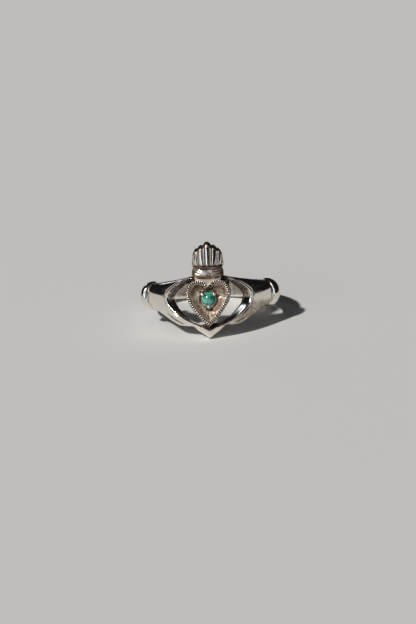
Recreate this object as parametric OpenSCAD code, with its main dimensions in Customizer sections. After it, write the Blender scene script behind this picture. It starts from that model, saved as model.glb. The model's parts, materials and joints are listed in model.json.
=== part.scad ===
// Claddagh ring: two cuffed hands hold a crowned heart set with one round cabochon.
// The ring lies on its side, on the point of the hands in front and the edge of the band behind.
// Sizes are in millimetres. The head faces -Y, and +Z is up from the table.

/* [Finger hole] */
// Inner diameter of the band
finger_d = 17.35; // [15:0.05:20]

/* [Band] */
// Width of the band at the back, along the finger
band_w = 2.6; // [2:0.1:2.7]
// Width of the band at the cuffs, along the finger
shoulder_w = 3; // [2.7:0.1:3.6]
// Thickness of the band
band_t = 1.45; // [1.1:0.05:1.8]
// How much thinner the band is at its two edges
band_round = 0.9; // [0.3:0.05:0.95]

/* [Cuffs] */
// Angle round the finger from the middle of the head to a cuff
cuff_angle = 67; // [62:1:72]
// Diameter of the roll of a cuff
cuff_roll_d = 1.45; // [1:0.05:1.7]
// Height of a cuff, along the finger
cuff_h = 4.25; // [3.9:0.05:4.8]
// How far a cuff stands out from the finger hole
cuff_rise = 2.35; // [2.1:0.05:2.7]
// Diameter of the thin fillet between a cuff and its hand
fillet_d = 0.5; // [0.3:0.05:0.7]
// Height of the fillet, along the finger
fillet_h = 3.8; // [3.4:0.05:4.2]
// How far the fillet stands out from the finger hole
fillet_rise = 1.75; // [1.5:0.05:2]

/* [Hands] */
// Height of the hands' upper edge above the middle of the band
hand_top = 3.25; // [3.1:0.05:3.8]
// Depth of the hands' point below the middle of the band
hand_drop = 5.95; // [5.2:0.05:6.6]
// How far the rim of the opening stands out from the finger hole
hand_t = 2.05; // [1.7:0.05:2.3]
// Depth of the grooves between the fingers
finger_groove = 0.12; // [0.05:0.01:0.2]

/* [Opening] */
// Angle round the finger from the middle of the head to the opening's end
opening_angle = 34.5; // [32:0.5:37]
// Height of the opening's rim above the middle of the band
opening_top = 2.9; // [2.6:0.05:2.95]
// Depth of the opening's rim below the middle of the band
opening_drop = 4.75; // [4.55:0.05:4.9]
// How far the opening's wall leans in from its rim to the finger hole
opening_slope = 0.6; // [0.4:0.05:0.8]
// Width of the rounded lip along the opening's rim
lip_w = 0.16; // [0.1:0.02:0.24]

/* [Heart] */
// Width of the heart
heart_w = 6.45; // [6:0.05:7]
// Height of the heart, along the finger
heart_h = 6.8; // [6.5:0.05:7.1]
// Height of the heart's lobes above the middle of the band
heart_top = 2.42; // [2.2:0.02:2.6]
// How far the heart's border stands out from the finger hole
heart_rise = 2.4; // [2.1:0.05:2.8]
// Width of the notched border
border_w = 0.6; // [0.45:0.05:0.75]
// Depth of the dish inside the border
dish_depth = 0.55; // [0.35:0.05:0.8]
// Depth of the notches across the border
notch_depth = 0.14; // [0.06:0.02:0.2]
// Number of notches round the border
notches = 60; // [40:2:72]

/* [Stone] */
// Diameter of the cabochon
stone_d = 2.16; // [1.8:0.02:2.4]
// Height of the cabochon above its flat base
stone_h = 0.85; // [0.7:0.05:0.95]
// Height of the stone's centre above the middle of the band
stone_z = -0.25; // [-0.6:0.05:0.1]
// Gap between the stone and its seat
stone_gap = 0.04; // [0.02:0.01:0.08]
// Depth of the seat below the dish
seat_depth = 0.25; // [0.15:0.05:0.35]
// Width of the low collar round the stone
collar_w = 0.28; // [0.2:0.02:0.4]
// Height of the low collar above the dish
collar_h = 0.14; // [0.08:0.02:0.2]
// Diameter of the grain at the end of a prong
prong_d = 0.54; // [0.4:0.02:0.64]

/* [Crown] */
// Width of the crown at its widest
crown_w = 4.6; // [4:0.1:5.2]
// Height of the crown's point above the middle of the band
crown_top = 8.1; // [7.4:0.1:8.8]
// How far the front of the crown stands out from the finger hole
crown_rise = 2.3; // [2:0.05:2.6]
// Gap between the finger hole and the back of the crown
crown_back = 0.45; // [0.3:0.05:0.8]
// Depth of the grooves between the crown's leaves
leaf_groove = 0.3; // [0.15:0.05:0.4]
// Width of the roll under the crown
roll_w = 4.6; // [4.2:0.1:5.2]
// Height of the roll under the crown, along the finger
roll_h = 2.15; // [1.9:0.05:2.4]
// How far the roll stands out from the finger hole
roll_rise = 2.7; // [2.4:0.05:3]

/* [Hidden] */
$fn = 64;

finger_r = finger_d / 2;
band_r = finger_r + band_t;
// Solids that the finger hole trims reach this far into it. Flat ones reach further.
dig = 0.35;
flat_dig = 1.2;
// How much of a fillet's diameter keeps it clear of its cuff's roll.
fillet_seat = 0.2;

// Inside the finger hole, the hands' edge is bevelled by this much, over this thickness.
edge_bevel = 0.12;
edge_foot = 0.3;
// The radius of the band's rounded outside, at a share of half its width from the middle.
function band_out(share) = band_r - band_round * pow(abs(share), 2.4);
// The band's edge at the back, where the band is narrower.
back_r = band_out(band_w / shoulder_w);
// The ring leans back until the point of the hands and the band's back edge are level.
lean = atan((hand_drop - band_w / 2) / (finger_r + edge_foot + back_r));

// The roll's middle lies above the hands, and the crown's foot above the roll's middle, by shares of roll_h.
ROLL_LIFT = 0.15;
CROWN_LIFT = 0.22;
roll_z = hand_top + ROLL_LIFT * roll_h;
crown_foot = roll_z + CROWN_LIFT * roll_h;
dish_r = finger_r + heart_rise - dish_depth;

// A point at an angle round the finger, a radius and a height along the finger.
function around(angle, radius, z) = [radius * sin(angle), -radius * cos(angle), z];

// A smooth curve through four rows of a table, at share t between the middle two.
function smooth(a, b, c, d, t) =
    0.5 * (2 * b + (c - a) * t + (2 * a - 5 * b + 4 * c - d) * t * t + (3 * b - a - 3 * c + d) * t * t * t);

// The row of a table at a place that may lie between two rows.
function row_at(table, place, before, after) =
    let (
        n = len(table) - 1,
        k = min(floor(place), n - 1),
        a = k == 0 ? before : table[k - 1],
        d = k + 2 > n ? after : table[k + 2]
    )
    smooth(a, table[k], table[k + 1], d, place - k);

function middle(ring) = [for (p = ring) 1] * ring / len(ring);

// A list of rings of points joined into a closed skin. It closes on itself, or it ends in fans
// round the middle of its first and last rings.
module skin(rings, closed) {
    n = len(rings);
    m = len(rings[0]);
    spans = closed ? n : n - 1;
    points = [for (ring = rings) each ring];
    sides = [
        for (i = [0:spans - 1])
            for (j = [0:m - 1])
                let (
                    a = i * m + j,
                    b = i * m + (j + 1) % m,
                    c = (i + 1) % n * m + (j + 1) % m,
                    d = (i + 1) % n * m + j
                )
                each [[a, b, c], [a, c, d]]
    ];
    if (closed)
        polyhedron(points, sides, convexity = 6);
    else
        polyhedron(
            concat(points, [middle(rings[0]), middle(rings[n - 1])]),
            concat(
                sides,
                [for (j = [0:m - 1]) [n * m, (j + 1) % m, j]],
                [for (j = [0:m - 1]) [n * m + 1, (n - 1) * m + j, (n - 1) * m + (j + 1) % m]]
            ),
            convexity = 6
        );
}

// Band: a D section all round the finger, narrowed towards the back.
module band_section() {
    half = shoulder_w / 2;
    polygon([
        [finger_r - dig, -half],
        for (share = [-1:0.2:1]) [band_out(share), share * half],
        [finger_r - dig, half]
    ]);
}

// The band's outline from the side, from the cuffs to the back.
module band_side() {
    front = -finger_r * cos(cuff_angle);
    reach = band_r + 1;
    rotate([90, 0, 90])
        linear_extrude(height = 2 * reach, center = true)
            polygon([
                [front, -shoulder_w / 2],
                [band_r, -band_w / 2],
                [reach, -band_w / 2],
                [reach, band_w / 2],
                [band_r, band_w / 2],
                [front, shoulder_w / 2]
            ]);
}

module band() {
    intersection() {
        rotate([0, 0, cuff_angle - 90])
            rotate_extrude(angle = 360 - 2 * cuff_angle, $fn = 96)
                band_section();
        band_side();
    }
}

// A roll that arches over the hand across the finger: an ellipse of rings of one diameter.
module arch_roll(angle, roll_d, height, rise) {
    sides = 12;
    steps = 18;
    reach = 104;
    foot_r = finger_r + dig;
    half = height / 2 - roll_d / 2;
    stand = finger_r + rise - roll_d / 2 - foot_r;
    skin([
        for (i = [0:steps])
            let (
                turn = reach * (2 * i / steps - 1),
                radius = foot_r + stand * cos(turn),
                z = half * sin(turn),
                out = [cos(turn) / stand, sin(turn) / half],
                unit = out / norm(out)
            )
            [
                for (j = [0:sides - 1])
                    let (
                        across = roll_d / 2 * cos(360 * j / sides),
                        along = -roll_d / 2 * sin(360 * j / sides),
                        r = radius + unit[0] * across,
                        p = around(angle, r, z + unit[1] * across)
                    )
                    p + along * [cos(angle), sin(angle), 0]
            ]
    ], false);
}

module cuffs() {
    fillet_angle = cuff_angle - atan((cuff_roll_d / 2 + fillet_seat * fillet_d) / finger_r);
    for (side = [-1, 1]) {
        arch_roll(side * cuff_angle, cuff_roll_d, cuff_h, cuff_rise);
        arch_roll(side * fillet_angle, fillet_d, fillet_h, fillet_rise);
    }
}

// Hands: the frame round the opening, from the point below the heart, past a cuff, to the crown.
// rim angle and edge angle are shares of opening_angle and cuff_angle.
// rim z and edge z are shares of opening_drop and hand_drop below the middle of the band,
// and of opening_top and hand_top above it. rim rise, edge rise and dome are shares of hand_t,
// slope is a share of opening_slope and fingers is a share of finger_groove.
// rim angle, rim z, edge angle, edge z, rim rise, edge rise, dome, slope, fingers
HAND = [
    [0.00, -1.000, 0.00, -1.000, 1.05, 0.62, 0.08, 1.30, 0],
    [0.15, -0.900, 0.07, -0.916, 1.03, 0.60, 0.07, 1.20, 0],
    [0.28, -0.820, 0.15, -0.810, 1.00, 0.58, 0.06, 1.00, 0],
    [0.42, -0.735, 0.21, -0.720, 1.00, 0.56, 0.06, 1.00, 0.3],
    [0.56, -0.640, 0.30, -0.705, 1.00, 0.55, 0.06, 1.00, 1],
    [0.68, -0.530, 0.40, -0.680, 1.00, 0.55, 0.06, 0.95, 1],
    [0.79, -0.410, 0.51, -0.583, 1.00, 0.54, 0.06, 0.80, 1],
    [0.88, -0.300, 0.65, -0.440, 0.99, 0.53, 0.07, 0.60, 0.7],
    [0.95, -0.185, 0.81, -0.318, 0.98, 0.50, 0.07, 0.35, 0.2],
    [0.99, -0.085, 0.96, -0.275, 0.97, 0.47, 0.07, 0.15, 0],
    [1.00, -0.010, 1.01, -0.120, 0.97, 0.70, 0.07, 0.05, 0],
    [0.99, 0.120, 1.01, 0.240, 0.97, 0.70, 0.07, 0.10, 0],
    [0.95, 0.270, 0.96, 0.540, 0.98, 0.48, 0.08, 0.25, 0],
    [0.87, 0.430, 0.82, 0.600, 0.99, 0.50, 0.09, 0.45, 0],
    [0.78, 0.580, 0.69, 0.655, 1.00, 0.52, 0.10, 0.60, 0],
    [0.67, 0.745, 0.56, 0.720, 1.00, 0.53, 0.10, 0.70, 0],
    [0.56, 0.880, 0.42, 0.800, 1.00, 0.54, 0.10, 0.75, 0],
    [0.46, 0.960, 0.30, 0.885, 1.00, 0.55, 0.09, 0.75, 0],
    [0.30, 0.990, 0.17, 0.970, 1.00, 0.58, 0.08, 0.75, 0],
    [0.00, 1.000, 0.00, 1.000, 1.00, 0.60, 0.06, 0.75, 0]
];
HAND_STEPS = 2;

// Across a hand, from the rim to the edge.
// share of the way, share of the dome, share of the finger groove
ACROSS = [
    [0.14, 0.25, 0],
    [0.27, 0.65, 0.2],
    [0.37, 0.85, 1],
    [0.47, 1.00, 0],
    [0.58, 1.00, 0.2],
    [0.67, 0.90, 1],
    [0.78, 0.70, 0],
    [0.90, 0.35, 0]
];

// Up the opening's wall to the end of its lip.
// share of the slope, share of the lip, share of the rim's height, lip widths below the rim
WALL = [
    [-0.35, 0.0, 0.55, 0.0],
    [0.00, -0.1, 1.00, 1.4],
    [0.00, 0.3, 1.00, 0.3],
    [0.00, 1.0, 1.00, 0.0]
];
// The hand's outer edge is rounded by this many lip widths.
EDGE_ROUND = 0.6;
// The lip takes no more than this share of the way across a hand.
LIP_MOST = 0.2;

function mirrored(row) = [-row[0], row[1], -row[2], for (i = [3:8]) row[i]];

function hand_row(place) = row_at(HAND, place, mirrored(HAND[1]), mirrored(HAND[len(HAND) - 2]));

function hand_z(share, drop, top) = share < 0 ? share * drop : share * top;

// One ring of points across a hand: up the opening's wall, over the rim, across to the edge and down.
function hand_ring(row, side) =
    let (
        rim_a = row[0] * opening_angle,
        rim_z = hand_z(row[1], opening_drop, opening_top),
        edge_a = row[2] * cuff_angle,
        edge_z = hand_z(row[3], hand_drop, hand_top),
        rim_r = finger_r + row[4] * hand_t,
        edge_r = finger_r + row[5] * hand_t,
        mm = finger_r * PI / 180,
        length = norm([(edge_a - rim_a) * mm, edge_z - rim_z]),
        lip = min(lip_w, LIP_MOST * length) / length,
        bevel = edge_bevel * (edge_foot + dig) / edge_foot / length,
        foot = row[7] * opening_slope / length,
        place = function (share, radius)
            around(side * (rim_a + share * (edge_a - rim_a)), radius, rim_z + share * (edge_z - rim_z))
    )
    [
        place(-foot, finger_r - dig),
        for (w = WALL)
            place(w[0] * foot + w[1] * lip, finger_r + w[2] * (rim_r - finger_r) - w[3] * lip_w),
        for (a = ACROSS)
            place(a[0] + lip * (1 - a[0]), rim_r + (edge_r - rim_r) * a[0]
                + a[1] * row[6] * hand_t - a[2] * row[8] * finger_groove),
        place(1, edge_r - EDGE_ROUND * lip_w),
        place(1, finger_r + edge_foot),
        place(1 - bevel, finger_r - dig)
    ];

module hands() {
    last = (len(HAND) - 1) * HAND_STEPS;
    skin(concat(
        [for (k = [0:last]) hand_ring(hand_row(k / HAND_STEPS), -1)],
        [for (k = [last - 1:-1:1]) hand_ring(hand_row(k / HAND_STEPS), 1)]
    ), true);
}

// Heart: half of its outline from the cleft to the tip.
// share of half the heart's width, share of the heart's height down from its lobes
HEART = [
    [0.00, 0.095],
    [0.16, 0.050],
    [0.36, 0.005],
    [0.58, 0.005],
    [0.78, 0.055],
    [0.93, 0.150],
    [1.00, 0.270],
    [0.97, 0.390],
    [0.87, 0.510],
    [0.70, 0.640],
    [0.50, 0.765],
    [0.28, 0.885],
    [0.00, 1.000]
];
// Where the dish is deepest, as a share of the heart's height below its lobes.
HEART_MIDDLE = 0.4;
// How far short of a mirror image the outline's curve starts at the cleft, which sharpens it.
CLEFT = 0.06;
// A point moved in from the outline keeps this share of its distance from the heart's middle line.
KEPT_SIDE = 0.1;
// Across the border, from the outside to the dish.
// share of the border's width, drop below the crest, share of the notches' depth
BORDER = [
    [0.00, 0.30, 0],
    [0.12, 0.06, 1],
    [0.45, 0.00, 1],
    [0.80, 0.06, 1],
    [1.00, 0.25, 0]
];
// Down the dish.
// share of the border's inner outline, share of the dish's depth
DISH = [
    [0.80, 0.78],
    [0.62, 1.00]
];

function heart_place(row) = [row[0] * heart_w / 2, heart_top - row[1] * heart_h];

function heart_outline() =
    let (
        n = len(HEART) - 1,
        half = notches,
        before = [-HEART[1][0] + CLEFT, HEART[1][1]],
        after = [-HEART[n - 1][0], 2 - HEART[n - 1][1]],
        right = [for (k = [0:half]) heart_place(row_at(HEART, n * k / half, before, after))]
    )
    concat(right, [for (k = [half - 1:-1:1]) [-right[k][0], right[k][1]]]);

// An outline moved in by a distance. Each point stays on its own side of the heart's middle line.
function moved_in(outline, distance) =
    let (n = len(outline))
    [
        for (k = [0:n - 1])
            let (
                ahead = outline[(k + 1) % n],
                behind = outline[(k + n - 1) % n],
                along = (ahead - behind) / norm(ahead - behind),
                moved = outline[k] + distance * [along[1], -along[0]],
                least = KEPT_SIDE * outline[k][0]
            )
            [least < 0 ? min(moved[0], least) : max(moved[0], least), moved[1]]
    ];

function shrunk(outline, share) =
    let (middle = [0, heart_top - HEART_MIDDLE * heart_h])
    [for (p = outline) middle + share * (p - middle)];

function raised(outline, radius) = [for (p = outline) [p[0], -radius, p[1]]];

// One ring of the border. Every second point of it is a notch.
function border_ring(row) =
    let (ring = raised(moved_in(heart_outline(), row[0] * border_w), finger_r + heart_rise - row[1]))
    [for (k = [0:len(ring) - 1]) ring[k] + [0, (k % 2) * row[2] * notch_depth, 0]];

module heart() {
    outline = heart_outline();
    inner = moved_in(outline, border_w);
    skin([
        raised(outline, finger_r - flat_dig),
        for (row = BORDER) border_ring(row),
        for (row = DISH) raised(shrunk(inner, row[0]), finger_r + heart_rise - row[1] * dish_depth)
    ], false);
}

// A flat plate on the inside of the head, cut to an outline seen from the front.
module plate(outline, rise) {
    translate([0, -finger_r + flat_dig, 0])
        rotate([90, 0, 0])
            linear_extrude(height = rise + flat_dig)
                polygon(outline);
}

// Under the crown: a plate between the heart's lobes, and a web from the lobes to the hands.
// Half widths are shares of the heart's width, and the lower edge is a share of its height below the lobes.
PLATE_HALF = 0.3;
PLATE_TIP_HALF = 0.03;
PLATE_LOW = 0.13;
WEB_HALF = 0.42;
// How far the plate lies below the heart's border, and how far the web stands out, as a share of hand_t.
PLATE_DROP = 0.3;
WEB_RISE = 0.5;

module crown_seat() {
    half = PLATE_HALF * heart_w;
    tip = PLATE_TIP_HALF * heart_w;
    low = heart_top - PLATE_LOW * heart_h;
    wide = WEB_HALF * heart_w;
    plate([
        [-tip, low],
        [tip, low],
        [half, heart_top],
        [half, hand_top],
        [-half, hand_top],
        [-half, heart_top]
    ], heart_rise - PLATE_DROP);
    plate([
        [-wide, low],
        [wide, low],
        [wide, opening_top],
        [-wide, opening_top]
    ], WEB_RISE * hand_t);
}

// Stone setting. Its axis points out of the front of the heart.
module at_stone() {
    translate([0, 0, stone_z])
        rotate([90, 0, 0])
            children();
}

stone_base = dish_r - seat_depth;
// The cabochon is a cap of this sphere.
dome_r = (stone_d * stone_d / 4 + stone_h * stone_h) / (2 * stone_h);
dome_z = stone_base + stone_gap + stone_h - dome_r;

module collar() {
    at_stone()
        translate([0, 0, stone_base - dig])
            cylinder(d = stone_d + 2 * stone_gap + 2 * collar_w, h = dig + seat_depth + collar_h);
}

module seat_hole() {
    at_stone()
        translate([0, 0, stone_base])
            cylinder(d = stone_d + 2 * stone_gap, h = seat_depth + heart_rise);
}

// Angles of the prongs round the stone, and the angle from the top of its dome to a grain.
PRONGS = [40, 140, 270];
GRAIN_TILT = 52;
// A prong starts at this share of the collar's width, and its ends are shares of prong_d.
PRONG_FOOT = 0.9;
PRONG_TOP = 0.8;
PRONG_BASE = 1.05;

module prongs() {
    away = dome_r + prong_d / 2 + stone_gap;
    grain_x = away * sin(GRAIN_TILT);
    grain_z = dome_z + away * cos(GRAIN_TILT);
    foot_x = stone_d / 2 + stone_gap + PRONG_FOOT * collar_w;
    prong_h = grain_z - stone_base;
    lean_out = atan((foot_x - grain_x) / prong_h);
    at_stone()
        for (angle = PRONGS)
            rotate([0, 0, angle])
                translate([grain_x, 0, grain_z]) {
                    sphere(d = prong_d, $fn = 32);
                    rotate([0, 180 - lean_out, 0])
                        cylinder(d1 = PRONG_TOP * prong_d, d2 = PRONG_BASE * prong_d, h = prong_h, $fn = 32);
                }
}

module stone() {
    color([0.05, 0.5, 0.4])
        lying()
            at_stone()
                intersection() {
                    translate([0, 0, dome_z])
                        sphere(r = dome_r);
                    translate([0, 0, stone_base + stone_gap])
                        cylinder(d = stone_d, h = 2 * stone_h);
                }
}

// Crown: leaves side by side over a rounded front.
// turn is a share of the crown's half turn, and top is a share of its height above the roll.
// turn, top
LEAVES = [
    [0.00, 1.00],
    [0.12, 0.95],
    [0.23, 0.84],
    [0.36, 0.85],
    [0.47, 0.81],
    [0.58, 0.71],
    [0.70, 0.70],
    [0.82, 0.59],
    [1.00, 0.40]
];
CROWN_TURN = 76;
LEAF_TURN = 27;

function leaf_top(share) =
    let (
        below = max([for (i = [0:len(LEAVES) - 2]) if (LEAVES[i][0] <= share) i]),
        a = LEAVES[below],
        b = LEAVES[below + 1]
    )
    a[1] + (b[1] - a[1]) * (share - a[0]) / (b[0] - a[0]);

// Up the front of a leaf.
// share of the height, share of the crown's half width, set back from the front
LEAF = [
    [0.00, 0.84, 0.10],
    [0.18, 0.90, 0.04],
    [0.36, 0.97, 0.00],
    [0.54, 1.00, 0.00],
    [0.72, 1.00, 0.06],
    [0.88, 0.98, 0.20],
    [0.97, 0.96, 0.42]
];

// Down the back of a leaf, in the same columns. The last is set back from the crown's back.
LEAF_BACK = [
    [1.00, 0.96, 0.15],
    [0.94, 0.97, 0.00],
    [0.50, 1.00, 0.00],
    [0.00, 0.84, 0.00]
];
// The front curves back by this share of a full circle's depth.
CROWN_CURVE = 0.6;
// The grooves are this much shallower at the crown's sides.
GROOVE_FADE = 0.3;
// The least thickness of a leaf.
LEAF_T = 0.35;

module crown() {
    steps = 44;
    height = crown_top - crown_foot;
    turn_r = crown_w / 2 / sin(CROWN_TURN);
    front_r = finger_r + crown_rise;
    back_r = finger_r + crown_back;
    skin([
        for (i = [0:steps])
            let (
                share = 2 * i / steps - 1,
                turn = share * CROWN_TURN,
                top = height * leaf_top(abs(share)),
                wave = 0.5 - 0.5 * cos(360 * turn / (LEAF_TURN / 2)),
                groove = leaf_groove * wave * (1 - GROOVE_FADE * abs(share)),
                x = turn_r * sin(turn),
                set_back = CROWN_CURVE * turn_r * (1 - cos(turn)) + groove,
                place = function (row) [
                    x * row[1],
                    -max(front_r - set_back - row[2], back_r + LEAF_T - row[2] / 2),
                    crown_foot + row[0] * top
                ]
            )
            concat(
                [for (row = LEAF) place(row)],
                [for (row = LEAF_BACK) [x * row[1], -back_r - row[2], crown_foot + row[0] * top]]
            )
    ], false);
}

// The roll under the crown: a bulging bar with blunt ends.
// It starts this far out from the finger hole and tapers by this share of its depth. A larger
// ROLL_END gives wider ends.
ROLL_IN = 0.25;
ROLL_TAPER = 0.12;
ROLL_END = 0.04;

module crown_roll() {
    sides = 16;
    steps = 14;
    skin([
        for (i = [0:steps])
            let (
                share = 2 * i / steps - 1,
                x = roll_w / 2 * sin(90 * share),
                size = pow(max(1 - pow(abs(sin(90 * share)), 5), ROLL_END), 0.4),
                bulge = 1 - ROLL_TAPER * pow(share, 2),
                inner = finger_r + ROLL_IN,
                depth = (roll_rise - ROLL_IN) / 2
            )
            [
                for (j = [0:sides - 1])
                    let (turn = 360 * j / sides)
                    [
                        x,
                        -(inner + depth * bulge + depth * bulge * size * cos(turn)),
                        roll_z + roll_h / 2 * size * sin(turn)
                    ]
            ]
    ], false);
}

// The ring turned back on its resting place, with the middle of its footprint at the origin.
rest_z = (finger_r + edge_foot) * sin(lean) - hand_drop * cos(lean);

module lying() {
    front = concat(border_ring(BORDER[2]), hand_ring(HAND[0], 1));
    front_y = min([for (p = front) p[1] * cos(lean) + p[2] * sin(lean)]);
    back_y = max([for (share = [0:0.05:band_w / shoulder_w])
        band_out(share) * cos(lean) + share * shoulder_w / 2 * sin(lean)]);
    translate([0, -(front_y + back_y) / 2, -rest_z])
        rotate([-lean, 0, 0])
            children();
}

module ring() {
    color([0.78, 0.77, 0.75])
        lying()
            difference() {
                union() {
                    band();
                    cuffs();
                    hands();
                    heart();
                    crown_seat();
                    crown_roll();
                    crown();
                    collar();
                    prongs();
                }
                seat_hole();
                cylinder(r = finger_r, h = 2 * (crown_top + hand_drop), center = true, $fn = 96);
            }
}

ring();
stone();
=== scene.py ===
# %% [markdown]
# # Dressing a claddagh ring
# The imported CAD model gives this ring its size and its resting place. On the real object everything but
# the stone is silver, cast and soldered into one piece. This lesson builds each part of it again as a
# fine surface, so that its curves mirror the light smoothly. It then adds the notches, creases and dark
# tarnish of a ring that has been worn, and paints shade onto a few places. The CAD frame is loaded first,
# because every size and place follows from it.

# %% Load the frame
import json
import math

import bpy
import numpy as np
from mathutils import Matrix, Vector


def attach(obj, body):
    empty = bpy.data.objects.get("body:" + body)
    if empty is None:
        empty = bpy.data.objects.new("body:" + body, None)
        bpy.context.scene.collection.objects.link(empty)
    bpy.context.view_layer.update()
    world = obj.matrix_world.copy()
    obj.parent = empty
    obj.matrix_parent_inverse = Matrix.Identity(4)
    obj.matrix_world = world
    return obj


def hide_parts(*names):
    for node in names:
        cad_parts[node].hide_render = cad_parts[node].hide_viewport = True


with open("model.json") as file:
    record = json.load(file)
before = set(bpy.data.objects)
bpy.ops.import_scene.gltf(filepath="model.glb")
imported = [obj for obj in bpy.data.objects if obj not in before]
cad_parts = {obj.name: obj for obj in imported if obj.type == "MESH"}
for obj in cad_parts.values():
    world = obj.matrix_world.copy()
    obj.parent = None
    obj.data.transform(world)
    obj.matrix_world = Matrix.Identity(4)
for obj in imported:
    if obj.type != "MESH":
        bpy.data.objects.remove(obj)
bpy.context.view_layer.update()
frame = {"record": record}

MM = 0.001

# %% [markdown]
# ## The ring's own frame
# The ring lies tilted on the floor, but it is easier to shape upright: z along the finger, the head
# towards -y, and the finger hole round the z axis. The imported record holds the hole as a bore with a
# place and an axis, so the tilt can be read from it and nothing is fitted by eye. The middle of the band
# lies at the height where the point of the hands and the back edge of the band both touch the floor.

# %% The finger hole sets the frame
bore = next(mount for mount in frame["record"]["mounts"] if mount["name"] == "finger_hole")
FINGER_R = bore["dims"]["r_mm"]
BAND_W, SHOULDER_W, BAND_T, BAND_ROUND = 2.6, 3.0, 1.45, 0.9
HAND_TOP, HAND_DROP, HAND_T, EDGE_FOOT, EDGE_BEVEL = 3.25, 5.95, 2.05, 0.3, 0.12

hole_axis = np.array(bore["axis"]) / np.linalg.norm(bore["axis"])
side_axis = np.array([1.0, 0.0, 0.0])
back_axis = np.cross(hole_axis, side_axis)
lean_sin, lean_cos = hole_axis[1], hole_axis[2]
band_height = HAND_DROP * lean_cos - (FINGER_R + EDGE_FOOT) * lean_sin
bore_place = np.array(bore["pos_m"]) / MM
ring_middle = bore_place + hole_axis * (band_height - bore_place[2]) / lean_cos


def to_row(points):
    """Points in the ring's frame, in mm, to the row's frame, in metres: middle + x side + y back + z
    axis."""
    return (ring_middle + points @ np.array([side_axis, back_axis, hole_axis])) * MM


print("Lean of the ring: %.2f degrees" % math.degrees(math.asin(lean_sin)))

# %% [markdown]
# ## Surfaces from grids
# Every piece is a grid of points: rings of points that follow each other. Worked out as whole numpy
# arrays, a grid of fifty thousand points takes a blink. Sculpting or subdividing a rough cage could give
# the same forms, but here the forms come from a few tables, and a curve through the rows of a table is
# exactly what the CAD model uses too.

# %% Helpers for grids
def around(angle, radius, z):
    """Points at angles in degrees round the finger, from the head: (r sin a, -r cos a, z)."""
    turn = np.radians(angle)
    return np.stack(np.broadcast_arrays(radius * np.sin(turn), -radius * np.cos(turn), z), axis=-1)


def smooth(table, places, before=None, after=None):
    """A Catmull-Rom curve through the rows a, b, c, d of a table, at the share t between b and c: (2b +
    (c - a) t + (2a - 5b + 4c - d) t^2 + (3b - a - 3c + d) t^3) / 2."""
    table = np.asarray(table, float)
    before = 2 * table[0] - table[1] if before is None else before
    after = 2 * table[-1] - table[-2] if after is None else after
    rows = np.concatenate([[before], table, [after]])
    k = np.clip(np.floor(places).astype(int), 0, len(table) - 2)
    t = (places - k).reshape((-1,) + (1,) * (table.ndim - 1))
    a, b, c, d = rows[k], rows[k + 1], rows[k + 2], rows[k + 3]
    return (2 * b + (c - a) * t + (2 * a - 5 * b + 4 * c - d) * t**2 + (3 * b - a - 3 * c + d) * t**3) / 2


def ramp(value, low, high):
    """0 below low, 1 above high and a smooth step, 3t^2 - 2t^3, between them."""
    t = np.clip((value - low) / (high - low), 0, 1)
    return t * t * (3 - 2 * t)


def bump(distance, width):
    """A round bump over a distance: exp(-(d / width)^2)."""
    return np.exp(-((distance / width) ** 2))


def line_cut(points, line, width):
    """A groove along a line of straight stretches, over flat points: exp(-(d / w)^2), where d is the
    least distance to p + t (q - p), 0 <= t <= 1. The width w narrows to both ends with the walked share u
    as (1 - (2u - 1)^4), and so does the depth, so that the groove runs out as a graver's does."""
    line = np.array(line, float)
    ends = np.concatenate([[0], np.cumsum(np.linalg.norm(np.diff(line, axis=0), axis=1))])
    least, walked = np.full(points.shape[:-1], np.inf), np.zeros(points.shape[:-1])
    for k, (p, q) in enumerate(zip(line[:-1], line[1:])):
        t = np.clip((points - p) @ (q - p) / ((q - p) @ (q - p)), 0, 1)
        distance = np.linalg.norm(points - p - t[..., None] * (q - p), axis=-1)
        closer = distance < least
        least = np.where(closer, distance, least)
        walked = np.where(closer, (ends[k] + t * (ends[k + 1] - ends[k])) / ends[-1], walked)
    fade = 1 - (2 * walked - 1) ** 4
    return fade * bump(least, width * (0.25 + 0.75 * fade))


def outside_hole(points, clearance=0.0):
    """Points inside the finger hole, pushed straight out to its wall and a clearance more."""
    radius = np.linalg.norm(points[..., :2], axis=-1, keepdims=True)
    push = np.maximum(FINGER_R + clearance, radius) / np.maximum(radius, 1e-6)
    return np.concatenate([points[..., :2] * push, points[..., 2:]], axis=-1)


# %% [markdown]
# ## From a grid to a mesh
# Four neighbours of a grid make a face, so the faces are index arithmetic and need no loop. foreach_set
# hands whole arrays to Blender, which is far faster than adding faces one by one. Each mesh also carries
# an attribute that says how dark each of its points is, from tarnish and on some pieces from painted
# shade, which the silver reads later.

# %% A closed mesh from a grid
GRIDS = {}


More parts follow.
